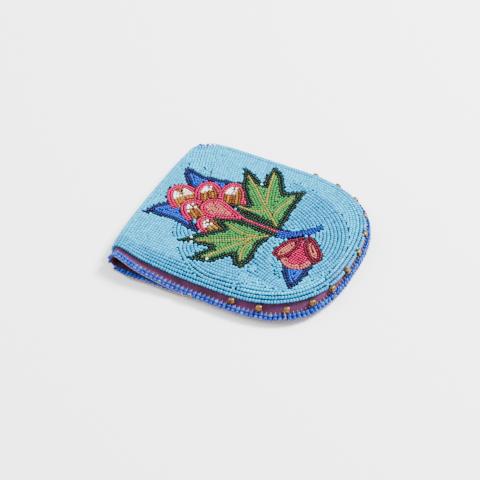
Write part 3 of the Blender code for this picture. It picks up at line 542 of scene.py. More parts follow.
def sew_strip_beads(name, beads, material, slot, nodes, tint, seed, **inputs):
    """Beads of the flat strip, taken to the folded flap. Their places, aims and tints vary a little."""
    chance = random.Random(seed)
    places, aims, sizes, tints = [], [], [], []
    for u, v, angle, size, tone in beads:
        u, v = u + chance.uniform(-0.05, 0.05), v + chance.uniform(-0.05, 0.05)
        angle += chance.uniform(-0.07, 0.07)
        places.append(folded(u, v, BEAD_LIFT + chance.uniform(-0.06, 0.06)))
        aims.append(heading(u, v, math.cos(angle), math.sin(angle), BEAD_LIFT))
        sizes.append(size)
        shade = 1 + chance.uniform(-0.16, 0.16)
        tints.append([c * shade for c in tint(tone, chance)])
    return sew(name, places, aims, tints, material, slot, nodes, sizes, seed=seed, **inputs)


# Materials

def new_material(name):
    """A material and its node tree."""
    material = bpy.data.materials.new(name)
    material.use_nodes = True
    return material, material.node_tree


def set_shader(tree, values):
    set_sockets(tree, tree.nodes["Principled BSDF"], values)


def texture(tree, kind, **inputs):
    """A texture that is fixed to its object."""
    where = add_node(tree, "ShaderNodeTexCoord").outputs["Object"]
    return add_node(tree, kind, {"Vector": where, **inputs}).outputs["Fac"]


def ranged(tree, value, low=0, high=1, to_low=0, to_high=1):
    return add_node(tree, "ShaderNodeMapRange", {"Value": value, "From Min": low, "From Max": high,
                                                 "To Min": to_low, "To Max": to_high}).outputs["Result"]


def scaled(tree, tone, factor):
    return add_node(tree, "ShaderNodeVectorMath", {0: tone, "Scale": factor},
                    operation="SCALE").outputs["Vector"]


def blend(tree, factor, first, second):
    return add_node(tree, "ShaderNodeMix", {"Factor": factor, "A": (*first, 1), "B": (*second, 1)},
                    data_type="RGBA").outputs["Result"]


def bead_glass(name, roughness=0.22, coat=0.35):
    """Pressed glass beads: each bead's tint, a little cloudiness and a thin gloss."""
    material, tree = new_material(name)
    tint = add_node(tree, "ShaderNodeAttribute", attribute_name="tint").outputs["Color"]
    cloud = texture(tree, "ShaderNodeTexNoise", Scale=900, Detail=2)
    grime = ranged(tree, cloud, 0.3, 0.7, 1 - GRIME, 1 + GRIME * 0.3)
    set_shader(tree, {"Base Color": scaled(tree, tint, grime),
                      "Roughness": ranged(tree, cloud, to_low=roughness * 0.7, to_high=roughness * 1.6),
                      "Specular IOR Level": 0.16, "Coat Weight": coat * 0.15, "Coat Roughness": 0.12})
    return material


def wool(name, colour, pale):
    """Fulled wool cloth: a soft nap over a fine weave, faded and a little dusty."""
    material, tree = new_material(name)
    nap = texture(tree, "ShaderNodeTexNoise", Scale=2600, Detail=3)
    fading = ranged(tree, texture(tree, "ShaderNodeTexNoise", Scale=120, Detail=6), 0.35, 0.7)
    fibre = ranged(tree, nap, to_low=0.55, to_high=1.5)
    bump = add_node(tree, "ShaderNodeBump", {"Height": nap, "Strength": 0.7, "Distance": 0.0004})
    set_shader(tree, {"Base Color": scaled(tree, blend(tree, fading, colour, pale), fibre),
                      "Normal": bump.outputs["Normal"], "Roughness": 0.95,
                      "Sheen Weight": 0.05, "Sheen Roughness": 0.45})
    return material


def cotton(name, colour):
    """Twisted cotton thread."""
    material, tree = new_material(name)
    twist = texture(tree, "ShaderNodeTexWave", Scale=900, Distortion=3)
    dark = [c * 0.6 for c in colour]
    set_shader(tree, {"Base Color": blend(tree, twist, dark, colour), "Roughness": 0.8})
    return material


def aged_brass(name):
    """Hollow brass beads gone brown in their low places, bright where they are rubbed."""
    material, tree = new_material(name)
    patch = texture(tree, "ShaderNodeTexNoise", Scale=650, Detail=5)
    set_shader(tree, {"Base Color": blend(tree, ranged(tree, patch, 0.36, 0.6), BRASS_DARK, BRASS_BRIGHT),
                      "Roughness": ranged(tree, patch, to_low=0.6, to_high=0.3), "Metallic": 0.85})
    return material


# Settings

def colour(name, description, value):
    return bpy.props.FloatVectorProperty(name=name, description=description, subtype="COLOR", size=3,
                                         min=0, max=1, default=value)


def length(name, description, value):
    return bpy.props.FloatProperty(name=name, description=description, default=value, unit="LENGTH",
                                   min=0.0001, precision=5)


class PouchBeadSettings(bpy.types.PropertyGroup):
    """Sizes and colours of the seed beads."""
    row_pitch: length("Row Pitch", "Distance between rows of ground beads", 0.00175)
    tight_pitch: length("Tight Row Pitch", "Distance between the crowded rows near the fold", 0.00145)
    bead_pitch: length("Bead Pitch", "Distance between ground beads along a row", 0.00142)
    bead_diameter: length("Bead Diameter", "Diameter of a ground bead", 0.00164)
    bead_length: length("Bead Length", "Length of a ground bead along its hole", 0.00130)
    spray_pitch: length("Spray Row Pitch", "Distance between rows of the spray", 0.00145)
    spray_bead: length("Spray Bead", "Diameter of a bead of the spray", 0.00142)
    ground: colour("Ground", "Sky-coloured ground beads", (0.0, 0.46, 0.74))
    ground_bright: colour("Bright Ground", "Ground beads of the brighter rows", (0.0, 0.29, 0.56))
    # Pale ground is a lighter tone of the beads, and in the pale rows it is painted reflection of the back
    # light
    ground_pale: colour("Pale Ground", "Ground beads of the paler rows", (0.004, 0.56, 0.84))
    dark_green: colour("Dark Green", "Beads of the leaves' outlines", (0.001, 0.014, 0.006))
    leaf_green: colour("Leaf Green", "Beads inside the leaves", (0.028, 0.19, 0.042))
    straw: colour("Straw", "Beads of the leaves' veins", (0.27, 0.21, 0.03))
    navy: colour("Navy", "Dark blue outlines", (0.002, 0.005, 0.06))
    royal: colour("Royal Blue", "Bright blue fields", (0.0, 0.06, 0.44))
    stem_blue: colour("Stem Blue", "Beads of the stem", (0.002, 0.02, 0.26))
    pink: colour("Pink", "Beads of the petals' outlines", (0.38, 0.0, 0.06))
    rose: colour("Rose", "Darker outlines of the blossom", (0.10, 0.0, 0.012))
    salmon: colour("Salmon", "Pale pink fields", (0.44, 0.09, 0.08))
    white: colour("White", "White beads", (0.86, 0.85, 0.82))
    amber: colour("Amber", "Amber beads", (0.32, 0.115, 0.008))
    brown: colour("Brown", "Brown beads", (0.12, 0.032, 0.004))


class PouchEdgeSettings(bpy.types.PropertyGroup):
    """Sizes and colours of the edging, thread, cloth and brass beads."""
    pair_pitch: length("Pair Pitch", "Distance between pairs of edging beads", 0.00225)
    edge_diameter: length("Edge Bead Diameter", "Diameter of an edging bead", 0.00192)
    edge_length: length("Edge Bead Length", "Length of an edging bead along its hole", 0.00148)
    thread: length("Thread", "Thickness of the sewing thread", 0.00035)
    brass_diameter: length("Brass Diameter", "Diameter of a brass bead", 0.0029)
    edge_blue: colour("Edging Blue", "Edging beads", (0.001, 0.04, 0.36))
    thread_tan: colour("Thread", "Tan sewing thread", (0.42, 0.24, 0.11))
    wool_purple: colour("Wool", "Wool cloth", (0.029, 0.0015, 0.021))
    wool_faded: colour("Faded Wool", "Wool cloth where it is faded", (0.08, 0.011, 0.062))


# Rows of the spray and of the ground

SEWING = Sewing()


def spray_outlines():
    """Every element of the spray, lowest first."""
    found = [("upper_blue_leaf", UPPER_BLUE), ("lower_blue_leaf", LOWER_BLUE)]
    found += [(name, scale_petal(*shape)) for name, shape in PETALS.items()]
    return found + [("teardrop_petal", teardrop()), ("upper_leaf", UPPER_LEAF), ("lower_leaf", LOWER_LEAF),
                    ("stem", STEM), ("blossom_tip", BLOSSOM_TIP), ("blossom_lip", BLOSSOM_LIP),
                    ("blossom_middle", BLOSSOM_MIDDLE), ("blossom_left_petal", LEFT_PETAL),
                    ("blossom_right_petal", RIGHT_PETAL)]


def own_tones(name):
    """The tones of an element's rim and field."""
    return next((pair for key, pair in OWN_TONES.items() if key in name), ("pink", "salmon"))


def clear_of(shapes, gap):
    """A test of places: whether each lies this far outside all the outlines."""
    def test(points):
        good = np.ones(len(points), bool)
        for shape in shapes:
            good &= depth(points, shape) < -gap
        return good
    return test


def spots_between(low_u, high_u, low_v, high_v, step):
    return [(u, v) for u in np.arange(low_u, high_u, step) for v in np.arange(low_v, high_v, step)]


def fill(lines, pitch, rows, step, allowed, tone, room=SPRAY_ROOM, size=WHOLE, sides=(1, -1), first=0.0):
    """Rows on either side of some lines, each kept clear of the other lines' rows."""
    sewn, tones = [], [tone] if isinstance(tone, str) else tone
    for k in range(rows):
        gap, tone = first + k * pitch, tones[k % len(tones)]
        least = gap - ROW_SLACK

        def apart(points):
            return allowed(points) & (np.min([distance_to(points, line) for line in lines], 0) > least)

        for line in lines:
            for side in (sides if gap else sides[:1]):
                for stretch in beside(line, gap * side):
                    nearest = min(distance_to(stretch, other).min() for other in lines)
                    test = allowed if nearest > least else apart
                    sewn += SEWING.row(stretch, step, test, room, tone, size)
    return sewn


def rim_rows(outline, rows, pitch, step, clear, tone, room=SPRAY_ROOM, size=WHOLE):
    """Rows inside an outline, from its edge inward."""
    area = sum(a[0] * b[1] - b[0] * a[1] for a, b in zip(outline, outline[1:] + outline[:1]))
    return fill([closed(outline)], pitch, rows, step, lambda p: clear(p) & (depth(p, outline) > RIM_GAP),
                tone, room, size, sides=(1 if area > 0 else -1,), first=pitch / 2)


def plug(found, outline, clear, parts):
    """Sews single beads into the holes that the rows leave in an element."""
    us, vs = zip(*outline)
    spots = spots_between(min(us), max(us), min(vs), max(vs), PLUG_STEP)
    deep = depth(spots, outline)
    for (u, v), good, far in zip(spots, clear(spots) & (deep > RIM_GAP), deep):
        if good and SEWING.free(u, v, SPRAY_ROOM):
            node, tone = next((n, t) for limit, n, t in parts if far < limit)
            SEWING.take(u, v)
            found[node].append((u, v, PLUG_ANGLE, FILLER, tone))


def leaf_rows(found, name, outline, clear, inside, pitch, step):
    """A five-pointed leaf: veins, two dark rows round its rim, and rows that follow the veins."""
    rim = 2 * pitch
    veins = [curve_through(v, 6) for v in (UPPER_VEINS if name == "upper_leaf" else LOWER_VEINS)]
    found[f"{name}_veins"] = fill(veins, pitch, 1, step, lambda p: inside(p, 0.8), "straw", VEIN_ROOM,
                                  NARROW)
    found[f"{name}_rim"] = rim_rows(outline, 2, pitch, step, clear, "dark_green", CLOSE_ROOM)
    found[f"{name}_field"] = fill(veins, pitch, 9, step, lambda p: inside(p, rim + 0.3), "leaf_green",
                                  first=pitch * 0.9)
    return [(rim - 0.2, f"{name}_rim", "dark_green"), (ANY_DEPTH, f"{name}_field", "leaf_green")]


def petal_rows(found, name, outline, inside, pitch, step):
    """A scale-like petal: two pink rows round its rim, a white crescent, and amber and brown rows below."""
    base, apex, _ = PETALS[name]
    long = math.dist(base, apex)
    axis = [(a - b) / long for a, b in zip(apex, base)]
    rim, lowest = 2 * pitch, name == "petal_1"

    def placed(points):
        """Each place's share of the petal's length, and how far left of its middle it lies."""
        away = np.asarray(points, float) - base
        return (away @ axis + PETAL_TUCK) / (long + PETAL_TUCK), away @ (-axis[1], axis[0])

    def heart(points):
        return inside(points, 0.3) & (distance_to(points, outline) > rim)

    def unveined(points):
        share, left = placed(points)
        off_vein = np.abs(np.abs(left) - VEIN_SLOPE * (share - VEIN_START))
        return heart(points) & ~(lowest & (off_vein < VEIN_HALF))

    def pale(points):
        share, left = placed(points)
        return unveined(points) & (share > PALE_START) & ((left > PALE_LEFT) | lowest)

    def rows(test, tone):
        return fill([outline], pitch, 6, step, test, tone, PETAL_ROOM, sides=(1,),
                    first=rim + pitch / 2)

    found[f"{name}_rim"] = fill([outline], pitch, 2, step, lambda p: inside(p, 0.2), "pink", CLOSE_ROOM,
                                sides=(1,), first=pitch / 2)
    found[f"{name}_white"] = rows(pale, "white")
    tones = {"petal_1": ["amber"], "petal_5": ["brown", "straw"]}.get(name, ["brown", "amber"])
    found[f"{name}_amber"] = rows(unveined, tones)
    if lowest:
        found[f"{name}_amber"] += rows(heart, "brown")
    return [(ANY_DEPTH, f"{name}_amber", tones[0])]


def element_rows(found, name, outline, clear, pitch):
    """One element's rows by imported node. Says which node and tone its last holes take, by their depth."""
    step, fine, rim = pitch * 0.9, pitch * 0.8, 2 * pitch

    def inside(points, by=0.0):
        return clear(points) & (depth(points, outline) > by)

    if name in ("upper_leaf", "lower_leaf"):
        return leaf_rows(found, name, outline, clear, inside, pitch, step)
    if name in PETALS:
        return petal_rows(found, name, outline, inside, pitch, step)
    if name == "teardrop_petal":
        found[f"{name}_rim"] = rim_rows(outline, 2, pitch, step, clear, "pink", CLOSE_ROOM) \
            + fill([TEARDROP_LINE], pitch, 1, step, clear, "pink", VEIN_ROOM)
        found[f"{name}_field"] = rim_rows(outline, 8, pitch, step, lambda p: inside(p, rim), "salmon")
        return [(rim, f"{name}_rim", "pink"), (ANY_DEPTH, f"{name}_field", "salmon")]
    if name == "stem":
        found[name] = fill([STEM_LINE], pitch * 0.85, 9, step, lambda p: inside(p, RIM_GAP), "stem_blue",
                           CLOSE_ROOM, sides=(-1,))
        return [(ANY_DEPTH, name, "stem_blue")]
    if name == "blossom_middle":
        found[name] = fill([BLOSSOM_LINE], fine * 1.1, 12, step, lambda p: inside(p, 0.2), "pink",
                           VEIN_ROOM, SMALL, sides=(1,), first=pitch / 2)
        return [(ANY_DEPTH, name, "pink")]
    if name == "blossom_lip":
        found[name] = rim_rows(outline, 6, pitch, step, clear, "salmon")
        return [(ANY_DEPTH, name, "salmon")]
    dark, bright = own_tones(name)
    found[f"{name}_rim"] = rim_rows(outline, 2, fine, step * 0.85, clear, dark, FINE_ROOM, SMALL)
    found[f"{name}_field"] = rim_rows(outline, 9, fine, step * 0.85, lambda p: inside(p, 2 * fine), bright,
                                      FINE_ROOM, SMALL)
    return [(2 * fine, f"{name}_rim", dark), (ANY_DEPTH, f"{name}_field", bright)]


def spray_beads(settings):
    """All the spray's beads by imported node, the highest element first."""
    shapes, found = spray_outlines(), {}
    for number in range(len(shapes) - 1, -1, -1):
        name, outline = shapes[number]
        clear = clear_of([shape for _, shape in shapes[number + 1:]], OVER_GAP)
        plug(found, outline, clear, element_rows(found, name, outline, clear, settings.spray_pitch / MM))
    plug(found, BETWEEN_LEAVES, clear_of([shape for _, shape in shapes], BETWEEN_GAP),
         [(ANY_DEPTH, "upper_leaf_rim", "dark_green")])
    rims = [found["upper_leaf_rim"], found["lower_leaf_rim"]]
    for spot in STRAY_WHITE:
        rim, i = min(((rim, i) for rim in rims for i in range(len(rim))),
                     key=lambda place: math.dist(place[0][place[1]][:2], spot))
        rim[i] = (*rim[i][:4], "white")
    return found


def rounded_end(start, long, near, far, near_shape=NEAR_SHAPE):
    """A rounded end from its near side round to its far side."""
    centre, half = (near + far) / 2, (far - near) / 2
    points = []
    for i in range(41):
        turn = -math.pi / 2 + math.pi * i / 40
        power = 2 / (FAR_SHAPE if turn > 0 else near_shape)
        across = math.copysign(abs(math.sin(turn)) ** power, turn)
        points.append((start + long * max(0.0, math.cos(turn)) ** power, centre + half * across))
    return points


def ground_outline():
    """The ground's edge on the strip, from under the fold round the flap's end."""
    near, far = NEAR_BORDER - FLAP_HALF, FLAP_HALF - FAR_BORDER
    start = X_FOLD - UNDER_FOLD * FOLD_RADIUS
    side = [(start + (X_END - start) * i / 12) for i in range(12)]
    near_side = [(u, max(near, NEAR_BORDER - strip_half(u, -1))) for u in side]
    far_side = [(u, min(far, strip_half(u, 1) - FOLD_BORDER)) for u in side]
    return near_side + rounded_end(X_END, FLAP_END - TIP_BORDER, near, far, GROUND_SHAPE) + far_side[::-1]


def ground_beads(settings):
    """All the ground's beads, by zone. Each zone has its own run of rows, and they meet at seams."""
    pitch, tight, step = (v / MM for v in (settings.row_pitch, settings.tight_pitch, settings.bead_pitch))
    edge = ground_outline()
    off_spray = clear_of([shape for _, shape in spray_outlines()] + [BETWEEN_LEAVES], SPRAY_GAP)
    brass = [sum(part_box(n), Vector()) / 2 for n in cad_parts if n.startswith("brass_bead")]

    def open_ground(points):
        good = (depth(points, edge) > EDGE_GAP) & off_spray(points)
        for i in np.flatnonzero(good):
            here = folded(*points[i], 1.0)
            good[i] = all((here - centre).length > BRASS_ROOM * MM for centre in brass)
        return good

    def zone(outline):
        return lambda p: open_ground(p) & within(p, outline)

    def arcs(line, rows, outline, side=1):
        return fill([curve_through(line)], pitch, rows, step, zone(outline), "halo", GROUND_ROOM,
                    sides=(side,), first=pitch / 2)

    def round_edge(row_pitch, rows, test, tone, room, size, first):
        return fill([edge], row_pitch, rows, step, test, tone, room, size, (1,), first)

    inner = pitch * INNER_ROWS
    border = round_edge(pitch, 2, open_ground, "edge", GROUND_ROOM, (1.04, 1.04, 1), pitch * 0.45)
    halo = arcs(LEAF_ARC, 12, LEAF_FIELD) + arcs(LOBE_ARC, 12, LOBE_FIELD)
    halo += fan(STEM_FAN, LEAF_FAN, pitch, step, zone(FAN_FIELD), GROUND_ROOM)
    side = arcs(SIDE_ARC, 26, SIDE_FIELD, -1)
    # Rows of paler beads along the near edge toward the tip: painted reflection of the back light
    field = round_edge(pitch, 6, zone(REFLECTION_PALE_FIELD), "pale", GROUND_ROOM, WHOLE, pitch * 2.45)
    field += round_edge(tight, 3, open_ground, "near", TIGHT_ROOM, (0.94, 0.94, 1), inner)
    field += round_edge(tight, 28, open_ground, "field", TIGHT_ROOM, (0.92, 0.92, 1), inner + tight * 3)
    spots = spots_between(-3, 107, -45, 44, FILLER_STEP)
    for (u, v), good in zip(spots, open_ground(spots)):
        if good and SEWING.free(u, v, FILLER_ROOM):
            SEWING.take(u, v)
            angle = 0.0 if u < X_END else math.atan2(v, u - X_END) + math.pi / 2
            field.append((u, v, angle, FILLER, "field"))
    zones = {"ground_border_beads": border, "ground_halo_beads": halo, "ground_side_beads": side,
             "ground_field_beads": field}
    return {name: [(*bead[:4], CALMER.get(bead[4], bead[4]) if bead[1] > CALM_FROM else bead[4])
                   for bead in sewn] for name, sewn in zones.items()}


def fan(first, last, pitch, step, allowed, room):
    """Rows that open out between two lines."""
    shares = np.linspace(0, 1, 60)
    start, end = (np.stack([np.interp(shares, np.linspace(0, 1, len(line)), line[:, i]) for i in (0, 1)], 1)
                  for line in (resample(curve_through(line), 0.5) for line in (first, last)))
    rows = int(np.hypot(*(end - start).T).mean() / pitch)
    sewn = []
    for k in range(-2, rows + 1):
        share = k / rows
        sewn += SEWING.row(start * (1 - share) + end * share, step, allowed, room, "halo", WHOLE)
    return sewn


# Cloth

def sheet_grid(rows):
    """A mesh from rows of points with the same count in each."""
    bm = bmesh.new()
    rings = [[bm.verts.new(p) for p in row] for row in rows]
    for a, b in zip(rings, rings[1:]):
        for i in range(len(a) - 1):
            bm.faces.new((a[i], b[i], b[i + 1], a[i + 1]))
    bmesh.ops.remove_doubles(bm, verts=bm.verts, dist=1e-6)
    return bm


def narrowed(along, shape):
    """How much of its width a rounded end keeps, by the share of its length."""
    return max(0.0, 1 - along ** shape) ** (1 / shape)


def swell(x, rise, fall):
    """Rises from 0 to 1 and falls again. Each takes where it starts and its length."""
    return smooth((x - rise[0]) / rise[1]) * (1 - smooth((x - fall[0]) / fall[1]))


def flap_width(u):
    """The strip's near and far edge at u on the flap."""
    along = min(1.0, max(0.0, u - X_END) / FLAP_END)
    return (-strip_half(min(u, X_END), -1) * narrowed(along, NEAR_SHAPE),
            strip_half(min(u, X_END), 1) * narrowed(along, FAR_SHAPE))


def back_width(x):
    """The back's near and far edge at x."""
    u = BACK_TURN - min(x, BACK_STRAIGHT)
    near, far = -strip_half(u, -1) - BACK_BULGE * swell(x, BULGE_RISE, BULGE_FALL), strip_half(u, 1)
    centre, half = (near + far) / 2, (far - near) / 2
    along = min(1.0, max(0.0, x - BACK_STRAIGHT) / BACK_END)
    return centre - half * narrowed(along, NEAR_SHAPE), centre + half * narrowed(along, FAR_SHAPE)


def finish_piece(piece, material):
    """Gives a piece its one material and smooth shading."""
    piece.data.materials.clear()
    piece.data.materials.append(material)
    piece.data.polygons.foreach_set("use_smooth", [True] * len(piece.data.polygons))
    return piece


def mesh_object(bm, name):
    mesh = bpy.data.meshes.new(name)
    bm.to_mesh(mesh)
    bm.free()
    return link(bpy.data.objects.new(name, mesh))


def solid_cloth(rows, name, thickness, material, knives=()):
    """A sheet through rows of points, given its thickness, cut and smoothed."""
    obj = mesh_object(sheet_grid(rows), name + "_sheet")
    wall = obj.modifiers.new("Thickness", "SOLIDIFY")
    wall.thickness, wall.offset = thickness, -1
    for knife in knives:
        cut = obj.modifiers.new("Slit", "BOOLEAN")
        cut.operation, cut.object, cut.solver = "DIFFERENCE", knife, "EXACT"
    piece = plain(obj, name)
    for knife in knives:
        bpy.data.objects.remove(knife)
    return finish_piece(piece, material)


def slit_knife(x):
    """A thin box that cuts one belt slit."""
    bm = bmesh.new()
    bmesh.ops.create_cube(bm, size=1)
    for vert in bm.verts:
        vert.co = Vector(((x + vert.co.x * SLIT_WIDTH) * MM, vert.co.y * SLIT_LENGTH * MM,
                          (0.5 + vert.co.z * 3) * MM)) + SHIFT
    return mesh_object(bm, "slit")


def toward_tip(start, long, count):
    """Places along a rounded end, closer together toward its tip."""
    return [start + long * math.sin(math.pi / 2 * i / count) ** 0.8 for i in range(1, count + 1)]


def strip_stations():
    """Places along the whole strip, closer at the fold and the two ends."""
    back = toward_tip(BACK_STRAIGHT, BACK_END, 16)[::-1]
    back += [BACK_STRAIGHT - (BACK_STRAIGHT - X_FOLD) * i / 26 for i in range(27)]
    places = [BACK_TURN - x for x in back]
    places += [U_BACK + (X_FOLD - U_BACK) * i / 14 for i in range(1, 14)]
    places += [X_FOLD + (X_END - X_FOLD) * i / 40 for i in range(41)]
    return places + toward_tip(X_END, FLAP_END, 26)


def strip_width(u):
    """The strip's near and far edge at u."""
    if u > X_FOLD:
        return flap_width(u)
    return back_width(BACK_TURN - u) if u < U_BACK else (-strip_half(u, -1), strip_half(u, 1))


def area_of(stations, width):
    """A sheet's flat area in square metres."""
    return float(sum((b - a) * (np.ptp(width(a)) + np.ptp(width(b))) / 2
                     for a, b in zip(stations, stations[1:]))) * MM * MM


def ease_edges(count):
    """Shares across the cloth, closer together near its two edges."""
    turns = [math.cos(math.pi * i / count) for i in range(count + 1)]
    return [0.5 - 0.5 * turn * (0.35 + 0.65 * abs(turn)) for turn in turns]


class PouchPiece(bpy.types.Operator):
    """Base of the pouch's operators."""
    bl_options = {"REGISTER", "UNDO"}

    def execute(self, context):
        self.make(context.scene.pouch_beads, context.scene.pouch_edges)
        return {"FINISHED"}


def across(width, place, count):
    """Places from a sheet's near edge to its far edge."""
    near, far = width(place)
    return [near + (far - near) * share for share in ease_edges(count)]


def pocket_place(x, y):
    """A point of the pocket front, which crowns between its seams."""
    high = strip_half(BACK_TURN - min(x, BACK_STRAIGHT), 1)
    low = -strip_half(BACK_TURN - min(x, BACK_STRAIGHT), -1)
    out = end_reach(max(0.0, x - BACK_STRAIGHT) / BACK_END, (2 * y - high - low) / (high - low))
    seam = CLOTH + GAP + POCKET_CLOTH
    return settled_place(Vector((x, y, seam + (POCKET_CROWN - seam) * max(0.0, 1 - out ** POCKET_FALL))))


class POUCH_OT_cloth(PouchPiece):
    """Folds the wool strip that makes the flap, the fold and the back, and sews on the pocket front"""
    bl_idname = "pouch.cloth"
    bl_label = "Wool Cloth"

    def make(self, beads, edges):
        purple = wool("pouch_wool", tuple(edges.wool_purple), tuple(edges.wool_faded))
        stations = strip_stations()
        rows = [[folded(u, v, 0) for v in across(strip_width, u, 72)] for u in stations]
        knives = [slit_knife(SLIT_CENTRE + side * SLIT_SPACING / 2) for side in (-1, 1)]
        strip = solid_cloth(rows, "wool_strip", CLOTH * MM, purple, knives)
        adopt(strip, "purple_wool", "outer_cloth")
        area_of(stations, strip_width)

        xs = [POCKET_MOUTH + (BACK_STRAIGHT - POCKET_MOUTH) * i / 26 for i in range(27)]
        xs += toward_tip(BACK_STRAIGHT, BACK_END, 22)
        rows = [[pocket_place(x, y) for y in across(back_width, x, 60)] for x in xs]
        front = solid_cloth(rows, "pocket_panel", POCKET_CLOTH * MM, purple)
        adopt(front, "purple_wool", "pocket_front")
        area_of(xs, back_width)


def spray_slot(node):
    """The material slot of one of the spray's nodes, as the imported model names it."""
    owner, _, part = node.rpartition("_")
    rim, field = own_tones(owner)
    return {"stem": "royal", "lip": "salmon", "middle": "pink", "veins": "straw", "white": "white",
            "amber": "amber", "rim": rim, "field": field}[part] + "_beads"


class POUCH_OT_spray(PouchPiece):
    """Sews the beads of the leaves, petals, teardrop, stem and blossom"""
    bl_idname = "pouch.spray"
    bl_label = "Spray Beads"

    def make(self, beads, edges):
        glass = bead_glass("spray_glass")
        for seed, (node, sewn) in enumerate(spray_beads(beads).items(), 20):
            sew_strip_beads(node + "_beads", sewn, glass, spray_slot(node), [node],
                            lambda tone, chance: getattr(beads, tone), seed, bead_diameter=beads.spray_bead,
                            bead_length=beads.spray_pitch * 0.84)


class POUCH_OT_ground(PouchPiece):
    """Sews the sky-coloured ground, each zone of it in its own run of rows"""
    bl_idname = "pouch.ground"
    bl_label = "Ground Beads"

    def make(self, beads, edges):
        glass = bead_glass("ground_glass", roughness=0.2, coat=0.4)
        bright, base, pale = (np.array(tone[:]) for tone in
                              (beads.ground_bright, beads.ground, beads.ground_pale))

        def tint(tone, chance):
            toward_bright = GROUND_MIX[tone][0] * chance.uniform(0.6, 1.2)
            toward_pale = GROUND_MIX[tone][1] * chance.uniform(0.4, 1.4)
            return base + (bright - base) * min(1, toward_bright) + (pale - base) * min(1, toward_pale)

        for seed, (name, sewn) in enumerate(ground_beads(beads).items(), 60):
            sew_strip_beads(name, sewn, glass, "sky_beads", ["ground_beadwork"], tint, seed,
                            bead_diameter=beads.bead_diameter, bead_length=beads.bead_length, wall_sides=5)


def walk(path, pitch):
    """Even places along a path with the way out of it, for a path that runs round with out on its right."""
    places = resample(path, pitch)
    found = []
    for i, (u, v) in enumerate(places):
        a, b = places[max(0, i - 1)], places[min(len(places) - 1, i + 1)]
        long = math.dist(a, b)
        found.append(((u, v), ((b[1] - a[1]) / long, -(b[0] - a[0]) / long)))
    return found


def edge_round(width, end, long):
    """The flap's or the back's edge, from the near end of the fold round to its far end."""
    straight = [X_FOLD + (end - X_FOLD) * i / 14 for i in range(14)]
    return [(x, width(x)[0]) for x in straight] + rounded_end(end, long, *width(end)) \
        + [(x, width(x)[1]) for x in reversed(straight)]


def fold_end(side):
    """The strip's edge round one end of the fold, from the flap to the back."""
    us = [X_FOLD - (X_FOLD - U_BACK) * i / 10 for i in range(11)]
    return [(u, side * strip_half(u, side)) for u in us]


def tube(name, points, radius, material):
    """A thread along a line of points."""
    curve = bpy.data.curves.new(name, "CURVE")
    curve.dimensions, curve.bevel_depth, curve.bevel_resolution = "3D", radius, 1
    curve.use_fill_caps = True
    spline = curve.splines.new("POLY")
    spline.points.add(len(points) - 1)
    for knot, point in zip(spline.points, points):
        knot.co = (*point, 1)
    piece = plain(link(bpy.data.objects.new(name + "_line", curve)), name)
    return adopt(finish_piece(piece, material), "purple_wool")


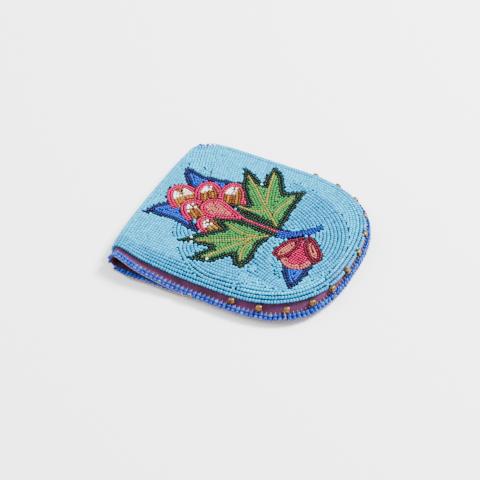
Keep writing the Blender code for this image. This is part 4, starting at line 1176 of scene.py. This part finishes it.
class POUCH_OT_edging(PouchPiece):
    """Sews the bead pairs along the flap's edge and along the seam of the back and the pocket"""
    bl_idname = "pouch.edging"
    bl_label = "Edging Beads"

    def make(self, beads, edges):
        glass = bead_glass("edging_glass", roughness=0.2, coat=0.45)
        thread = cotton("tan_thread", tuple(edges.thread_tan))
        chance = random.Random(5)
        self.flap(edges, chance, glass, thread)
        for name, line in LOOSE_THREADS.items():
            tube(name, [folded(u, v, n) for u, v, n in line], edges.thread / 2, thread)
        self.pocket(edges, chance, glass, thread)

    def tints(self, edges, chance, count):
        """Edging beads' tints: some are paler than the rest."""
        blue = np.array(edges.edge_blue[:])
        made = []
        for _ in range(count):
            pale = chance.random() ** 3
            made.append(blue * (1 + chance.uniform(-0.15, 0.15)) + np.array(EDGE_PALER) * pale)
        return made

    def flap(self, edges, chance, glass, thread):
        """The pairs, the stitches between them and the thread outside them."""
        places, aims, ticks, tick_aims, outer = [], [], [], [], []
        long = edges.edge_length / MM
        for (u, v), (ou, ov) in walk(edge_round(flap_width, X_END, FLAP_END), edges.pair_pitch / MM):
            wave = chance.uniform(-0.12, 0.12)
            low = FAR_LOW * (1 - smooth((u - X_FOLD) / FAR_LOW_LENGTH)) if v > 0 else 0
            for inset in (long * share for share in FLAP_PAIR):
                du, dv = u - ou * (inset + wave), v - ov * (inset + wave)
                places.append(folded(du, dv - low * 1.2, EDGE_LIFT - low + chance.uniform(-0.1, 0.1)))
                tilt = chance.uniform(-0.12, 0.12)
                aims.append(heading(du, dv, ou - ov * tilt, ov + ou * tilt, EDGE_LIFT))
            inset = long * 1.5 + STITCH_GAP
            ticks.append(folded(u - ou * inset, v - ov * inset, 0.2))
            inner, outside = inset + NUDGE, inset - NUDGE
            tick_aims.append((folded(u - ou * inner, v - ov * inner, 0.1)
                              - folded(u - ou * outside, v - ov * outside, 0.35)).normalized())
            out = long * FLAP_THREAD
            outer.append(folded(u + ou * out, v + ov * out, 0.55 + chance.uniform(-0.15, 0.15)))
        sew("flap_edging_beads", places, aims, self.tints(edges, chance, len(places)), glass,
            "edge_blue_beads", ["flap_edging"], bead_diameter=edges.edge_diameter, hole_diameter=0.0006,
            bead_length=edges.edge_length, sides=10, seed=3)
        sew("edging_stitches", ticks, tick_aims, [tuple(edges.thread_tan)] * len(ticks), thread,
            "purple_wool", [], bead_diameter=edges.thread * 1.15, hole_diameter=0.00002, bead_length=0.0010,
            sides=5, seed=4, unevenness=0.25)
        tube("flap_edge_thread", outer, edges.thread / 2, thread)

    def pocket(self, edges, chance, glass, thread):
        """The pairs along the seam and round the two ends of the fold, and the thread outside them."""
        places, aims, outer = [], [], []
        seam = edge_round(back_width, BACK_STRAIGHT, BACK_END)
        for (x, y), (ox, oy) in walk(seam, edges.pair_pitch / MM):
            for out in SEAM_PAIR:
                wave = chance.uniform(-0.1, 0.1)
                lift = SEAM_LIFT + wave + NEAR_LIFT * swell(x, LIFT_RISE, LIFT_FALL) * (y < 0)
                places.append(settled_place(Vector((x + ox * (out + wave), y + oy * (out + wave), lift))))
                aims.append(Vector((ox, oy, chance.uniform(-0.1, 0.1))))
            outer.append(settled_place(Vector((x + ox * SEAM_THREAD, y + oy * SEAM_THREAD, 1.0))))
        for side in (-1, 1):
            for (u, v), _ in walk(fold_end(side), edges.pair_pitch / MM)[1:-1]:
                if u > X_FOLD - FOLD_SHARE * FOLD_RADIUS:
                    for out in FOLD_PAIR:
                        places.append(folded(u, v + side * out, FOLD_PAIR_LIFT))
                        aims.append(Vector((0, side, 0)))
        sew("pocket_edging_beads", places, aims, self.tints(edges, chance, len(places)), glass,
            "edge_blue_beads", ["pocket_edging"], bead_diameter=0.00178, hole_diameter=0.0006,
            bead_length=0.00118, sides=8, seed=6)
        tube("pocket_edge_thread", outer, edges.thread / 2, thread)


class POUCH_OT_brass(PouchPiece):
    """Sews the hollow brass beads along the bare border"""
    bl_idname = "pouch.brass"
    bl_label = "Brass Beads"

    def make(self, beads, edges):
        brass = aged_brass("aged_brass")
        names = sorted(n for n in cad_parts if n.startswith("brass_bead"))
        centres = [sum(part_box(n), Vector()) / 2 for n in names]
        for i, (name, centre) in enumerate(zip(names, centres)):
            aim = (centres[min(len(names) - 1, i + 1)] - centres[max(0, i - 1)]).normalized()
            if centre.y > 0:
                centre = centre - Vector((aim.y, -aim.x, 0)) * BRASS_SINK * min(1, centre.y / BRASS_SINK_FROM)
            sew(name + "_shell", [centre], [aim], [(0.6, 0.4, 0.2)], brass, "brass", [name],
                bead_diameter=edges.brass_diameter, hole_diameter=0.0009,
                bead_length=edges.brass_diameter * 0.92, sides=24, wall_sides=20, seed=i, unevenness=0.02)


class POUCH_OT_stage(PouchPiece):
    """Sets the pale floor, the soft lights and the camera"""
    bl_idname = "pouch.stage"
    bl_label = "Stage"

    def make(self, beads, edges):
        bm = bmesh.new()
        bmesh.ops.create_grid(bm, x_segments=1, y_segments=1, size=6)
        floor = mesh_object(bm, "floor")
        material, tree = new_material("pale_floor")
        set_shader(tree, {"Base Color": (0.97, 0.97, 0.97, 1), "Roughness": 0.9, "Specular IOR Level": 0.1})
        floor.data.materials.append(material)

        world = bpy.data.worlds.new("studio")
        world.use_nodes = True
        set_sockets(world.node_tree, world.node_tree.nodes["Background"],
                    {"Color": (1, 1, 1, 1), "Strength": WORLD_STRENGTH})
        bpy.context.scene.world = world
        for name, place, size, power in LAMPS:
            light = bpy.data.lights.new(name, "AREA")
            light.size, light.energy = size, power
            lamp = link(bpy.data.objects.new(name, light))
            lamp.location = place
            lamp.rotation_euler = (-Vector(place)).to_track_quat("-Z", "Y").to_euler()

        lens = bpy.data.cameras.new("camera")
        lens.sensor_width, lens.lens = 36, 105
        lens.clip_start, lens.clip_end = 0.01, 20
        camera = link(bpy.data.objects.new("camera", lens))
        place, aim = (Vector(spot) * MM + SHIFT for spot in (CAMERA_PLACE, CAMERA_AIM))
        camera.location = place
        camera.rotation_euler = (aim - place).to_track_quat("-Z", "Y").to_euler()
        bpy.context.scene.camera = camera


class POUCH_PT_panel(bpy.types.Panel):
    """Lists the pouch's pieces in the sidebar"""
    bl_label = "Beaded Belt Pouch"
    bl_idname = "POUCH_PT_panel"
    bl_space_type = "VIEW_3D"
    bl_region_type = "UI"
    bl_category = "Pouch"

    def draw(self, context):
        for step in STEPS:
            self.layout.operator(step.bl_idname)
        for group in (context.scene.pouch_beads, context.scene.pouch_edges):
            box = self.layout.box()
            for label in group.bl_rna.properties.keys():
                if label not in ("rna_type", "name"):
                    box.prop(group, label)


STEPS = (POUCH_OT_cloth, POUCH_OT_spray, POUCH_OT_ground, POUCH_OT_edging, POUCH_OT_brass, POUCH_OT_stage)
CLASSES = (PouchBeadSettings, PouchEdgeSettings, *STEPS, POUCH_PT_panel)


def register():
    for made in CLASSES:
        bpy.utils.register_class(made)
    bpy.types.Scene.pouch_beads = bpy.props.PointerProperty(type=PouchBeadSettings)
    bpy.types.Scene.pouch_edges = bpy.props.PointerProperty(type=PouchEdgeSettings)


def unregister():
    del bpy.types.Scene.pouch_beads
    del bpy.types.Scene.pouch_edges
    for made in reversed(CLASSES):
        bpy.utils.unregister_class(made)


def main():
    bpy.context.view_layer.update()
    register()
    for step in STEPS:
        group, name = step.bl_idname.split(".")
        getattr(getattr(bpy.ops, group), name)()


if __name__ == "__main__":
    main()
